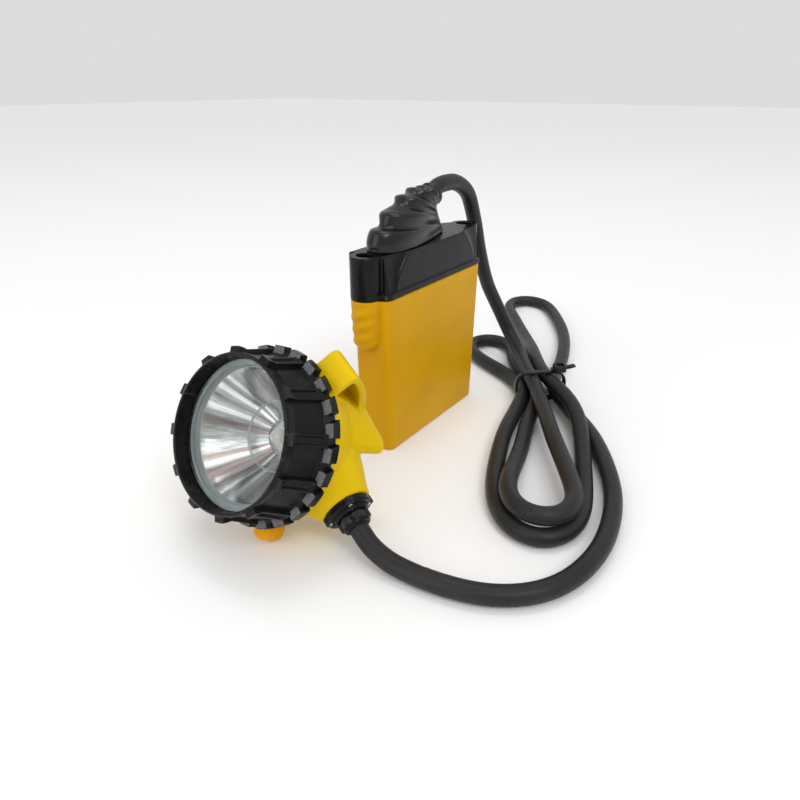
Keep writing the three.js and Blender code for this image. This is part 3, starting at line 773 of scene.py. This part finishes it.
def grip_pad(side):
    """Pad below the lid screw: a half column with three slanting finger ridges and a rounded foot."""
    rings = []
    for k in range(81):
        z = 60 + 28 * k / 80
        size = foot_size(z)
        ring = []
        for angle in circle(96):
            across, along = math.cos(angle), math.sin(angle)
            slant = z + 0.35 * size * along
            wave = 0.5 - 0.5 * math.cos(2 * math.pi * (slant - 64) / 6.6)
            ridge = 1.1 * wave if 64 < slant < 83.8 else 0
            reach = size * across
            if reach * side > 0:
                reach += ridge * side * abs(across) ** 0.5
            ring.append((side * LID["screw_x"] + reach, LID["boss_side"] + size * along, z))
        rings.append(ring)
    return lofted(rings)


def foot_size(z):
    """Radius of the pad at a height: round at its foot, then widening gently up to the lid."""
    rise = min(1.0, (z - 60) / 5.5)
    return (6.5 + 1.5 * (z - 60) / 28) * math.sqrt(max(0.02, rise * (2 - rise)))


def make_case(material):
    rings = []
    for size, z in ((CASE["foot"] - 1.2, 0), (CASE["foot"], 0.7), (CASE["length"], CASE["height"])):
        depth = CASE["depth"] - (1.2 if z == 0 else 0)
        rings.append([(x, y, z) for x, y in round_rectangle(size, depth, CASE["corner"])])
    body = lofted(rings)
    inner = round_rectangle(CASE["foot"] - 6, CASE["depth"] - 2 * CASE["wall"], CASE["corner"] - CASE["wall"])
    room = slab(inner, CASE["base"], CASE["height"] + 2)
    body = joined(body, grip_pad(-1), grip_pad(1))
    sockets = [cylinder(2.4, CASE["height"] - 8, CASE["height"] + 2, s * LID["screw_x"], LID["boss_side"])
               for s in (-1, 1)]
    body = cut(body, room, *sockets)
    case = show("case_shell", moulded(body, 0.55, 5), BATTERY, material, 180)
    return stand_for(case, "lamp", "yellow", "battery_case")


def lid_scoop(side):
    """Hollow at the corner beside the boss: a flat floor and a curved wall, wider towards the top."""
    front = -CASE["depth"] / 2
    rings = []
    for step in range(13):
        rise = step / 12
        deep, wide, start = 1.2 + 2.2 * rise, 3 + 12 * rise**1.7, 42.5 - 2 * rise**2
        ring = [(60, front - 6), (60, front + deep), (start, front + deep)]
        for k in range(1, 13):
            angle = math.pi / 2 * k / 12
            ring.append((start - wide * math.sin(angle), front + deep * math.cos(angle)))
        ring.append((start - wide, front - 6))
        z = LID["low"] + 3.4 + (LID["high"] - LID["low"] - 2) * rise
        rings.append([(side * x, y, z) for x, y in ring])
    return lofted(rings)


def make_lid(material):
    low, high = LID["low"], LID["high"]
    length, depth = CASE["length"], CASE["depth"]
    lip = slab(round_rectangle(length + 1, depth + 1, LID["corner"]), low, low + 3)
    crown = slab(round_rectangle(length - 2.4, depth - 0.3, LID["corner"] + 1), low, high)
    rail = rounded_box((length - 5, 4, 18.5), (0, depth / 2 + 1.2, high - 9.8), 1.2)
    bosses = [cylinder(LID["boss"], low, high, s * LID["screw_x"], LID["boss_side"], 96) for s in (-1, 1)]
    body = joined(lip, crown, rail, *bosses)
    inner = slab(round_rectangle(length - 18, depth - 9.6, 3), low - 2, high - 3.4)
    tools = [inner, cylinder(6.2, high - 8, high + 3, -16, 0)]
    for side in (-1, 1):
        tools.append(cylinder(4.6, high - 14, high + 2, side * LID["screw_x"], LID["boss_side"]))
        tools.append(cylinder(1.8, low - 2, high, side * LID["screw_x"], LID["boss_side"]))
        tools.append(rounded_box((7, 1.9, 40), (side * 49, -7.5, low + 22.2), 0.6))
        tools.append(lid_scoop(side))
    body = cut(body, *tools)
    lid = show("lid_cover", moulded(body, 0.4, 3), BATTERY, material, 180)
    return stand_for(lid, "lamp", "black", "battery_lid")


# Sections of the rubber boot: crown point, flank point and half width. The crown steps in and
# out over the folds.
BOOT_BASE = CASE["height"] + 22.3
PLAIN_FOOT, PLAIN_TOP = 9.8, 6.2  # half widths between the folds
BOOT = [
    ((-44, 0), (20.5, 0), 9.8), ((-44.5, 4), (20, 1.6), 10.6), ((-41.5, 10), (19.2, 3.2), 10.2),
    ((-35.5, 11.5), (18.4, 4.8), 7.9), ((-33, 17), (17.4, 6.4), 10), ((-27.5, 18.8), (16.4, 8), 9.4),
    ((-22.5, 20.8), (15.4, 9.6), 6.9), ((-18.5, 24.2), (14.4, 11.2), 9.2), ((-12.5, 24.6), (13.4, 12.6), 6.4),
    ((-8, 27), (12.6, 13.8), 8.4), ((-3, 25.4), (11.8, 14.8), 5.9), ((0.5, 27), (11, 15.6), 7.3),
    ((4, 26), (10.2, 16.2), 6.2),
]


def boot_ring(crown, flank, half, plain, base):
    """One section: full at the crown, narrow at the flank, where its folds fade out."""
    ring = []
    middle = (crown + flank) / 2
    for angle in circle(128):
        along = math.cos(angle)
        across = math.sin(angle) * (1 + 0.5 * along) / 1.1
        at = middle + (crown - middle) * along
        fold = ((1 + along) / 2) ** 0.6
        ring.append((at.x, (half * fold + plain * (1 - fold)) * across, at.y + base))
    return ring


def make_boot(material):
    base = BOOT_BASE
    crowns = smooth_rows([Vector((c[0], c[1], half)) for c, _, half in BOOT])
    flanks = smooth_rows([Vector((f[0], f[1], 0)) for _, f, _ in BOOT])
    count = len(crowns)
    rings = []
    for i, (crown, flank) in enumerate(zip(crowns, flanks)):
        plain = PLAIN_FOOT + (PLAIN_TOP - PLAIN_FOOT) * i / (count - 1)
        rings.append(boot_ring(Vector(crown.xy), Vector(flank.xy), crown.z, plain, base))
    welt = slab([(p[0] * 1.015, p[1] * 1.05) for p in rings[0]], base, base + 1.4)
    body = joined(lofted(rings), boot_collar(), welt)
    below = box_mesh((120, 60, 20), (0, 0, base - 10.2))
    mesh = cut(moulded(body, 0.42, 3), below)
    boot = show("boot_cover", mesh, BATTERY, material, 60)
    return stand_for(boot, "lamp", "rubber", "cable_boot")


def smooth_rows(rows, between=5):
    """Extra sections between the given ones, along the same smooth curve."""
    out = []
    count = len(rows)
    for i in range(count - 1):
        a, b = rows[max(i - 1, 0)], rows[i]
        c, d = rows[i + 1], rows[min(i + 2, count - 1)]
        for k in range(between):
            t = k / between
            square = (2 * a - 5 * b + 4 * c - d) * t**2
            cube = (3 * b - a - 3 * c + d) * t**3
            out.append((2 * b + (c - a) * t + square + cube) / 2)
    return [*out, rows[-1]]


def boot_collar():
    """Sleeve where the cable leaves the boot."""
    sleeve = [(-7, 0), (-7, 6.3), (-0.6, 6.1), (0.6, 6.7), (2.2, 6.7), (3.2, 5.2), (3.2, 0)]
    end = Vector(BOOT[-1][0]) + (Vector(BOOT[-1][1]) - Vector(BOOT[-1][0])) / 2
    lean = Matrix.Rotation(math.radians(-30), 4, "Y")
    at = Matrix.Translation((end.x, 0, BOOT_BASE + end.y))
    return moved(turned(rounded(sleeve, 0.7, 3, False), 72), at @ lean)


def make_lid_screw(side, name, material):
    """Cheese-head screw with a slot, deep in the lid's recess."""
    floor = LID["high"] - 14
    head = bevelled(cylinder(3.2, floor + 0.3, floor + 3, sides=48), 0.4, 3)
    slot = box_mesh((7, 0.9, 1.6), (0, 0, floor + 3))
    shank = cylinder(1.4, CASE["height"] - 5.5, floor + 1, sides=32)
    mesh = cut(joined(head, shank), slot)
    at = Matrix.Translation((side * LID["screw_x"], LID["boss_side"], 0))
    mesh = moved(mesh, at @ Matrix.Rotation(0.5 * side, 4, "Z"))
    screw = show(f"cover_screw_{name}", mesh, BATTERY, material, 30)
    return stand_for(screw, "lamp", "steel", f"lid_screw_{name}")


# ---------------------------------------------------------------- headpiece

BARS = 12
LUGS = 24


def smoothstep(edge_low, edge_high, value):
    t = np.clip((value - edge_low) / (edge_high - edge_low), 0, 1)
    return t * t * (3 - 2 * t)


def bezel_wall(x):
    """Radius of the plain wall between the bars."""
    ahead = [0, 0.8, 4.9, 6.0, 20.5, 22.8, 24.4, 25.2, BEZEL["depth"]]
    radius = [37, 37.4, 37.4, 35.8, 33.5, 33.7, 33.8, 33.5, 32.8]
    return np.interp(x, ahead, radius)


def bezel_bar(x, off):
    """Height of a grip bar above the wall; off is the distance from its middle line."""
    tall = np.interp(x, [4.9, 5.9, 7.4, 19.6, 21.4, 24.5, 24.8], [0, 2.2, 2.2, 1.9, 2.3, 2.4, 0])
    inside = smoothstep(7.0, 8.0, x) * (1 - smoothstep(21.4, 22.2, x))
    trough = 0.9 * inside * (1 - smoothstep(1.3, 1.7, np.abs(off)))
    body = 1 - smoothstep(2.5, 2.85, np.abs(off))
    return body * np.maximum(0, tall - trough)


def bezel_panel(x, off, reach):
    """Depth of the sunk panel between two bars; reach is half the room between their lines."""
    inside = smoothstep(6.8, 7.8, x) * (1 - smoothstep(20.4, 21.4, x))
    side = 1 - smoothstep(reach - 4.2, reach - 3.6, np.abs(off))
    return 0.55 * inside * side


def bezel_lug(x, off):
    """Height of a rear lug: a block with a steep front and one slanting flank."""
    flank = 4.3 - 0.45 * np.clip(x - 0.4, 0, 5)
    left = 1 - smoothstep(flank - 0.1, flank + 0.3, off)
    right = 1 - smoothstep(3.7, 4.1, -off)
    front = np.interp(x, [0.2, 0.5, 4.9, 5.8], [0, 2.5, 2.5, 0])
    return left * right * front


def make_bezel(material):
    sides = 1440
    parts = [(0, 4.5, 14), (4.75, 6.2, 12), (6.5, 20.2, 24), (20.5, BEZEL["depth"], 20)]
    ahead = np.concatenate([np.linspace(*part) for part in parts])
    turns = np.arange(sides) * 2 * np.pi / sides
    x, turn = np.meshgrid(ahead, turns, indexing="ij")
    wall = bezel_wall(x)
    pitch = 2 * np.pi / BARS
    from_bar = (np.mod(turn, pitch) - pitch / 2) * BEZEL["waist"]
    from_panel = (np.mod(turn + pitch / 2, pitch) - pitch / 2) * BEZEL["waist"]
    lug_pitch = 2 * np.pi / LUGS
    from_lug = (np.mod(turn, lug_pitch) - lug_pitch / 2) * BEZEL["lug"]
    radius = wall - bezel_panel(x, from_panel, pitch / 2 * BEZEL["waist"])
    radius += 0.3 * np.exp(-(((x - 6.4) / 0.28) ** 2))
    lug = bezel_lug(x, from_lug)
    radius = np.maximum(radius + lug, wall + bezel_bar(x, from_bar))
    # band marks the lugs' front faces, where the bezel material paints a grey sheen
    band = (lug > 0.1) & (x > 4.95) & (x < 5.85) & (bezel_bar(x, from_bar) < lug + 0.3)
    bore = BEZEL["bore"]
    lip = [(BEZEL["depth"], 32.8), (25.2, 32.1), (19.5, 31.4), (19.4, 32.2), (15, 32.3)]
    inside = rounded([*lip, (14.4, bore), (0, bore)], [0, 0.5, 0.2, 0, 0, 0, 0], 3, False)[1:]
    across, up = np.cos(turns), np.sin(turns)
    rows = [np.column_stack([x[i], radius[i] * across, radius[i] * up]) for i in range(len(ahead))]
    rows += [np.column_stack([np.full(sides, p[0]), p[1] * across, p[1] * up]) for p in inside]
    points = np.concatenate(rows)
    mesh = mesh_of(points.tolist(), grid_faces(len(rows), sides, True))
    # the band attribute carries the painted sheen to the material
    painted_sheen_marks = mesh.attributes.new("band", "FLOAT", "POINT")
    values = np.zeros(len(points), np.float32)
    values[: band.size] = band.ravel()
    painted_sheen_marks.data.foreach_set("value", values)
    bezel = show("bezel_shell", facing_out(mesh, weld=False), HEAD, material, 42)
    return stand_for(bezel, "bezel", "black", "bezel_ring")


def make_lens(material):
    back, front = LENS["back"], LENS["back"] + LENS["thickness"]
    edge = LENS["radius"]
    profile = [(back, 0), (back, edge), (front - 1, edge), (front, edge - 1.6), (front, 0)]
    lens = show("front_lens", turned(rounded(profile, 0.3, 3, False), 192), HEAD, material, 30)
    return stand_for(lens, "front_glass", "glass", "lens")


REFLECTOR_SIDES = 480
# Painted reflections streaked down the reflector: angle, half width in degrees, added brightness and warmth
PAINTED_REFLECTION_STREAKS = [
    (150, 5, 0.35, 0), (165, 2.2, 0.6, 0), (171, 2, -0.35, 0.1), (178, 2.4, 0.7, 0), (187, 4, -0.3, 0.05),
    (199, 2.8, 0.75, 0), (213, 7, -0.38, 0.25), (236, 12, -0.1, 0), (250, 2.5, -0.3, 0.6),
    (257, 3, 0.5, 0.2), (268, 6, -0.05, 0.8), (281, 4, -0.4, 0.2), (289, 2, 0.5, 0), (295, 3, -0.35, 0.1),
    (303, 3, 0.55, 0), (318, 6, -0.2, 0), (335, 8, 0.3, 0), (20, 20, 0.2, 0), (80, 18, -0.2, 0.2),
    (115, 8, 0.3, 0),
]
REFLECTOR_WALL = [
    (15.4, 31), (15.4, 29.4), (12.7, 28.6), (12.4, 28.1), (-0.9, 14.9), (-1.15, 14.6), (-1.4, 14.3),
    (-1.7, 14), (-5, 7.8),
]


def painted_reflection_values(degrees):
    """Painted reflections on the reflector's skin: brightness and warmth at each angle."""
    light, warm = np.full(len(degrees), 0.5), np.zeros(len(degrees))
    for at, width, brighter, warmer in PAINTED_REFLECTION_STREAKS:
        off = np.mod(degrees - at + 180, 360) - 180
        shape = np.exp(-((off / width) ** 2))
        light += brighter * shape
        warm += warmer * shape
    return np.clip(light, 0.04, 1), np.clip(warm, 0, 1)


def make_reflector(material):
    """Cone of two steps, faintly fluted, with its skin 1.1 thick."""
    front = []
    for (x0, r0), (x1, r1) in zip(REFLECTOR_WALL, REFLECTOR_WALL[1:]):
        count = max(1, round(abs(x1 - x0) / 1.5))
        front += [(x0 + (x1 - x0) * k / count, r0 + (r1 - r0) * k / count) for k in range(count)]
    front.append(REFLECTOR_WALL[-1])
    back = [(-5, 8.9), (-1.6, 15.9), (12.2, 29.7), (14.3, 31)]
    profile = front + back
    angles = circle(REFLECTOR_SIDES)
    points = []
    for x, r in profile:
        points += [(x, r * math.cos(a), r * math.sin(a)) for a in angles]
    mesh = mesh_of(points, grid_faces(len(profile), REFLECTOR_SIDES, True))
    around = mesh.attributes.new("around", "FLOAT_VECTOR", "POINT")
    values = [(9 * math.cos(a), 9 * math.sin(a), 0.05 * x) for x, _ in profile for a in angles]
    around.data.foreach_set("vector", np.array(values, np.float32).ravel())
    satin = {i for i, (x, r) in enumerate(profile) if r > 28.5 or 14.2 < r < 14.7}
    # light and warm carry the painted reflection streaks to the mirror material
    light, warm = painted_reflection_values(np.degrees(angles))
    for name, values in (
        ("rim", [1.0 if i in satin else 0.0 for i in range(len(profile)) for _ in angles]),
        ("light", np.tile(light, len(profile))),
        ("warm", np.tile(warm, len(profile))),
    ):
        mesh.attributes.new(name, "FLOAT", "POINT").data.foreach_set("value", np.array(values, np.float32))
    cone = show("reflector_cone", facing_out(mesh, weld=False), HEAD, material, 25)
    return stand_for(cone, "lamp", "mirror", "reflector")


def make_emitter(phosphor):
    """Emitter: a stepped ceramic base with a clear dome."""
    low = REFLECTOR_WALL[-1][0]
    base = rounded_box((1.6, 9, 9), (low + 0.8, 0, 0), 0.25)
    ridge = rounded_box((0.6, 7.6, 7.6), (low + 1.7, 0, 0), 0.2)
    profile = [(low + 0.6, 0), (low + 0.6, 3.4)]
    profile += [(low + 1.4 + 3.4 * math.sin(t), 3.4 * math.cos(t)) for t in np.linspace(0, math.pi / 2, 14)]
    dome = turned([*profile[:-1], (low + 4.8, 0)], 64)
    emitter = show("emitter", joined(base, ridge, dome), HEAD, phosphor, 30)
    return stand_for(emitter, "lamp", "ceramic", "led_emitter")


def make_star(material):
    """Aluminium star board under the emitter, with its screw notches."""
    high = REFLECTOR_WALL[-1][0] - 0.3
    disc = turned([(high - 1.6, 0), (high - 1.6, 12.8), (high, 12.8), (high, 0)], 96)
    notches = []
    for i in range(6):
        turn = Matrix.Rotation(i * math.pi / 3, 4, "X")
        notch = moved(cylinder(1.5, -2, 2, sides=24), Matrix.Rotation(math.pi / 2, 4, "Y"))
        notches.append(moved(notch, turn @ Matrix.Translation((high - 0.8, 0, 12.4))))
    star = show("emitter_board", bevelled(cut(disc, *notches), 0.15, 2), HEAD, material, 30)
    return stand_for(star, "lamp", "aluminium", "led_board")


BOWL = [(-33.6, 0), (-33.6, 15), (-31, 21), (-25, 28), (-15, 33), (-6, 35), (-1.7, 35.6)]
BOWL_ROOM = [(-31, 0), (-31, 13), (-26, 22), (-14, 29), (-4, 31.2), (16, 31.2), (16, 0)]
# Sections of the neck: place along the gland's axis, sideways and radius
NECK = [
    (4, -13, 23.6), (19, -14.4, 22.4), (25, -16, 20.4), (30, -17.6, 17.8), (35.5, -19.8, 14.4),
    (40.6, -21.5, 11.8),
]


def bowl_solid():
    skin = rounded(BOWL, [0, 6, 6, 6, 6, 4, 0], 5, False)
    spigot = [(-1.7, BEZEL["bore"] - 0.3), (14, BEZEL["bore"] - 0.3), (14, 0)]
    return turned([*[tuple(p) for p in skin], *spigot], 128)


def neck_solid(shrink=0.0, beyond=0.0):
    rows = smooth_rows([Vector(row) for row in NECK], 4)
    rows[-1] = Vector(NECK[-1]) + Vector((beyond, 0, 0))
    rings = []
    for y, x, radius in rows:
        size = radius - shrink
        rings.append([(x + size * math.sin(a), y, size * math.cos(a)) for a in circle(72)])
    return lofted(rings)


def knob_place():
    """From +Z out of the housing to the knob's place round the lens axis."""
    return Matrix.Translation((KNOB["x"], 0, 0)) @ Matrix.Rotation(math.radians(-90 - KNOB["angle"]), 4, "X")


def make_housing(material):
    """Bowl, neck and knob boss, with the helmet hook moulded on, hollow for the lamp's works."""
    boss = moved(cylinder(6.8, 22, KNOB["foot"] - 0.3, sides=64), knob_place())
    shell = joined(bowl_solid(), neck_solid(), boss, hook_plate(), hook_web())
    bore = moved(cylinder(2.3, 18, 42, sides=32), knob_place())
    body = cut(shell, turned(BOWL_ROOM, 96), neck_solid(2.4, 2), bore, hook_window())
    housing = show("housing_shell", moulded(body, 0.5, 8), HEAD, material, 180)
    return stand_for(housing, "lamp", "yellow", "head_housing", "helmet_hook")


def curve_points(start, control, end, count=10):
    start, control, end = Vector(start), Vector(control), Vector(end)
    out = []
    for k in range(1, count + 1):
        t = k / count
        out.append(start * (1 - t) ** 2 + control * 2 * t * (1 - t) + end * t**2)
    return out


def sideways(outline, width):
    """Solid of an (x, z) outline, as wide as said along Y."""
    rings = [[(p[0], y, p[1]) for p in outline] for y in (-width / 2, width / 2)]
    return lofted(rings)


def hook_plate():
    """Folded plate of the helmet hook."""
    band = [Vector(p) for p in ((-1.9, 28), (-2.2, 34.6), (-5.2, 44.6))]
    band += curve_points((-5.2, 44.6), (-6.4, 47.8), (-9.6, 47))
    band += curve_points((-9.6, 47), (-21, 43), (-29.4, 32.4), 16)
    band += [Vector(p) for p in ((-33.4, 27), (-30, 20), (-6, 22))]
    return sideways(rounded(band, 0.8, 2), HOOK_WIDTH)


def hook_window():
    """Slot under the plate that takes the tongue of the helmet's bracket."""
    window = [Vector((-5.4, 35.6)), Vector((-25.4, 30.4))]
    window += curve_points((-25.4, 30.4), (-18.6, 39.8), (-9.6, 43.6), 14)
    window.append(Vector((-8, 43.4)))
    return sideways(rounded(window, 1.0, 3), HOOK_WIDTH + 8)


def hook_web():
    """Gusset from the hook's heel: one sloping face that runs out to a rounded tip."""
    half = HOOK_WIDTH / 2
    heel = [(-33.4, -half, 27), (-33.4, 8, 27), (-29.8, 8, 31.6), (-29.8, -half, 31.6), (-31, -half, 18)]
    tip = [(-36.6, 24, 26.4), (-35.4, 27.6, 24.8), (-34.4, 28.2, 22.6), (-34.6, 27, 20.6), (-35.8, 24.5, 20)]
    root = [(-12, -half, 20), (-12, 20, 22), (-10, 10, 30), (-29, 23, 16.6), (-14, 23, 16), (-20, 8, 33)]
    return hull(heel + tip + root)


def hull(points):
    """Smallest convex solid round the points."""
    work = bmesh.new()
    for point in points:
        work.verts.new(point)
    made = bmesh.ops.convex_hull(work, input=work.verts)
    left_over = set(made["geom_interior"]) | set(made["geom_unused"])
    spare = [part for part in left_over if isinstance(part, bmesh.types.BMVert)]
    bmesh.ops.delete(work, geom=spare, context="VERTS")
    bmesh.ops.recalc_face_normals(work, faces=work.faces)
    mesh = bpy.data.meshes.new("part")
    work.to_mesh(mesh)
    work.free()
    return mesh


def make_knob(material):
    """Round knob with shallow finger flutes and a dished top."""
    shaft = 2.3
    foot, socket = KNOB["foot"], KNOB["socket"]
    profile = [(foot + socket, 0), (foot + socket, shaft), (foot, shaft), (foot, 7.2), (foot + 2, 7.2),
               (foot + 7.1, 6.4), (foot + 8.8, 5.4), (foot + 9.3, 3.8), (foot + 9.1, 0)]
    profile = rounded(profile, [0, 0, 0.3, 0.6, 1.2, 1.4, 1.0, 0.8, 0], 4, False)
    body = moved(turned(profile, 160), Matrix.Rotation(-math.pi / 2, 4, "Y"))
    for vertex in body.vertices:
        x, y, z = vertex.co
        radius, angle = math.hypot(x, y), math.atan2(y, x)
        if radius > 5.4 and foot + 2.2 < z < foot + 8.4:
            flute = 1 - 0.03 * max(0.0, math.cos(12 * angle)) ** 2
            vertex.co.x, vertex.co.y = x * flute, y * flute
    body.update()
    knob = show("knob_cap", moved(facing_out(body), knob_place()), HEAD, material, 40)
    return stand_for(knob, "knob", "yellow", "switch_knob")


def gland_place():
    return Matrix.Translation((GLAND["x"], 0, 0)) @ Matrix.Rotation(-math.pi / 2, 4, "X")


def upright_turned(profile, sides=128):
    """Body turned about Z from (height, radius) pairs."""
    return moved(turned(profile, sides), Matrix.Rotation(-math.pi / 2, 4, "Y"))


def screw_spots():
    angles = [math.radians(45 + 90 * i) for i in range(4)]
    return [(9.4 * math.cos(a), 9.4 * math.sin(a)) for a in angles]


def make_flange(material):
    low, high = GLAND["seat"], GLAND["seat"] + GLAND["flange"]
    edge = GLAND["radius"]
    profile = [(low, 5.3), (low, edge), (high - 0.3, edge), (high, 10.5), (high, 9.0), (high - 0.5, 8.8),
               (high + 1.6, 8.2), (high + 1.6, 5.3)]
    disc = upright_turned(rounded(profile, 0.3, 2))
    ears = [cylinder(2.1, low, high, x * 1.03, y * 1.03, 40) for x, y in screw_spots()]
    body = joined(disc, *[bevelled(ear, 0.35, 2) for ear in ears])
    holes = [cylinder(1.35, high - 1.4, high + 3, x, y, 32) for x, y in screw_spots()]
    body = cut(body, *holes)
    flange = show("gland_plate", moved(body, gland_place()), HEAD, material, 30)
    return stand_for(flange, "lamp", "black", "gland_flange")


def make_flange_screw(index, material):
    """Pan-head screw with a cross recess."""
    x, y = screw_spots()[index]
    top = GLAND["seat"] + GLAND["flange"] + 0.35
    profile = [(top - 1.4, 0), (top - 1.4, 1.05), (top - 0.35, 1.05), (top - 0.1, 0.85), (top, 0.4), (top, 0)]
    head = upright_turned(rounded(profile, 0.15, 3, False), 40)
    cross = []
    for turn in (0.4, 0.4 + math.pi / 2):
        cross.append(moved(box_mesh((1.4, 0.26, 0.8), (0, 0, top)), Matrix.Rotation(turn, 4, "Z")))
    mesh = moved(cut(head, *cross), gland_place() @ Matrix.Translation((x, y, 0)))
    screw = show(f"gland_screw_{index + 1}", mesh, HEAD, material, 30)
    return stand_for(screw, "lamp", "steel", f"flange_screw_{index + 1}")


def make_nut(material):
    """Clamping nut: six round lobes over a tapered nose."""
    low = GLAND["seat"] + GLAND["flange"] + 1.9
    rings = []
    steps = [(low, 0.94), (low + 0.4, 1.0), (low + 3.1, 1.0), (low + 3.7, 0.95)]
    for z, size in steps:
        ring = []
        for angle in circle(216):
            lobe = GLAND["nut"] * size * (0.925 + 0.075 * math.cos(6 * angle))
            ring.append((lobe * math.cos(angle), lobe * math.sin(angle), z))
        rings.append(ring)
    lobes = lofted(rings)
    profile = [(low + 2, 0), (low + 2, 6.6), (low + 4.2, 6.5), (low + 5.2, 6), (low + 5.2, 0)]
    nose = upright_turned(rounded(profile, 0.5, 3, False))
    bore = cylinder(5.3, low - 2, low + 8, sides=96)
    mesh = moved(cut(joined(lobes, nose), bore), gland_place())
    nut = show("clamp_nut", mesh, HEAD, material, 30)
    return stand_for(nut, "lamp", "black", "gland_nut")


# ---------------------------------------------------------------- the whole lamp


def dress_frame(looks):
    """Materials of the frame's own pieces, which sit inside or between the others."""
    finishes = {
        "lid_gasket": "seal", "screw_insert_near": "brass", "screw_insert_far": "brass",
        "cell_tray": "plastic", "cell_strap": "nickel", "protection_board": "board", "foam_pad": "foam",
        "boot_stem": "black", "boot_nut": "black", "lead_positive": "red", "lead_negative": "seal",
        "bezel_seal": "seal", "lens_gasket": "silicone", "heat_sink": "aluminium", "driver_board": "board",
        "head_wire_positive": "red", "head_wire_negative": "seal", "knob_shaft": "steel",
        "switch_body": "black", "gland_bush": "seal",
    }
    finishes.update({f"cell_{i}": "wrap" for i in range(1, 5)})
    for node, look in finishes.items():
        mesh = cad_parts[node].data
        mesh.materials.clear()
        mesh.materials.append(looks[look])


def all_looks():
    return {
        "amber": yellow_plastic("amber_plastic", (0.67, 0.35, 0.0)),
        "lemon": yellow_plastic("lemon_plastic", (0.75, 0.505, 0.0)),
        "orange": yellow_plastic("orange_plastic", (0.74, 0.32, 0.0)),
        "black": black_plastic("black_plastic", 0.25),
        "gloss": black_plastic("gloss_plastic", 0.24),
        "bezel": bezel_plastic(),
        "boot": boot_rubber(),
        "cable": cable_rubber(),
        "seal": soft_rubber("seal_rubber"),
        "silicone": soft_rubber("pale_silicone", (0.33, 0.36, 0.37)),
        "red": soft_rubber("red_sleeve", (0.42, 0.02, 0.015)),
        "glass": lens_glass(),
        "mirror": mirror_film(),
        "steel": plain_metal("screw_steel", (0.58, 0.58, 0.6), 0.3),
        "nickel": plain_metal("strap_nickel", (0.66, 0.62, 0.55), 0.3, (14, 1, 1)),
        "brass": plain_metal("insert_brass", (0.72, 0.52, 0.2), 0.28),
        "aluminium": plain_metal("turned_aluminium", (0.68, 0.7, 0.72), 0.38, (1, 6, 6)),
        "board": speckled("circuit_board", (0.02, 0.12, 0.04), (0.04, 0.2, 0.07), 0.4, 400),
        "star": speckled("emitter_board", (0.62, 0.63, 0.63), (0.32, 0.33, 0.34), 0.4, 900),
        "wrap": speckled("cell_wrap", (0.02, 0.14, 0.4), (0.03, 0.18, 0.46), 0.3, 120),
        "plastic": speckled("tray_plastic", (0.27, 0.28, 0.3), (0.34, 0.35, 0.37), 0.55, 600),
        "phosphor": emitter_phosphor(),
        "foam": foam_sponge(),
    }


def main():
    make_camera()
    make_lights()
    make_floor()
    looks = all_looks()
    cable, path, length = make_cable(looks["cable"])
    tie = make_tie(looks["black"])
    make_case(looks["amber"])
    make_lid(looks["black"])
    make_boot(looks["boot"])
    for side, name in ((-1, "near"), (1, "far")):
        make_lid_screw(side, name, looks["steel"])
    make_bezel(looks["bezel"])
    make_lens(looks["glass"])
    make_reflector(looks["mirror"])
    make_emitter(looks["phosphor"])
    make_star(looks["star"])
    make_housing(looks["lemon"])
    make_knob(looks["orange"])
    make_flange(looks["gloss"])
    for index in range(4):
        make_flange_screw(index, looks["steel"])
    make_nut(looks["gloss"])
    dress_frame(looks)


main()
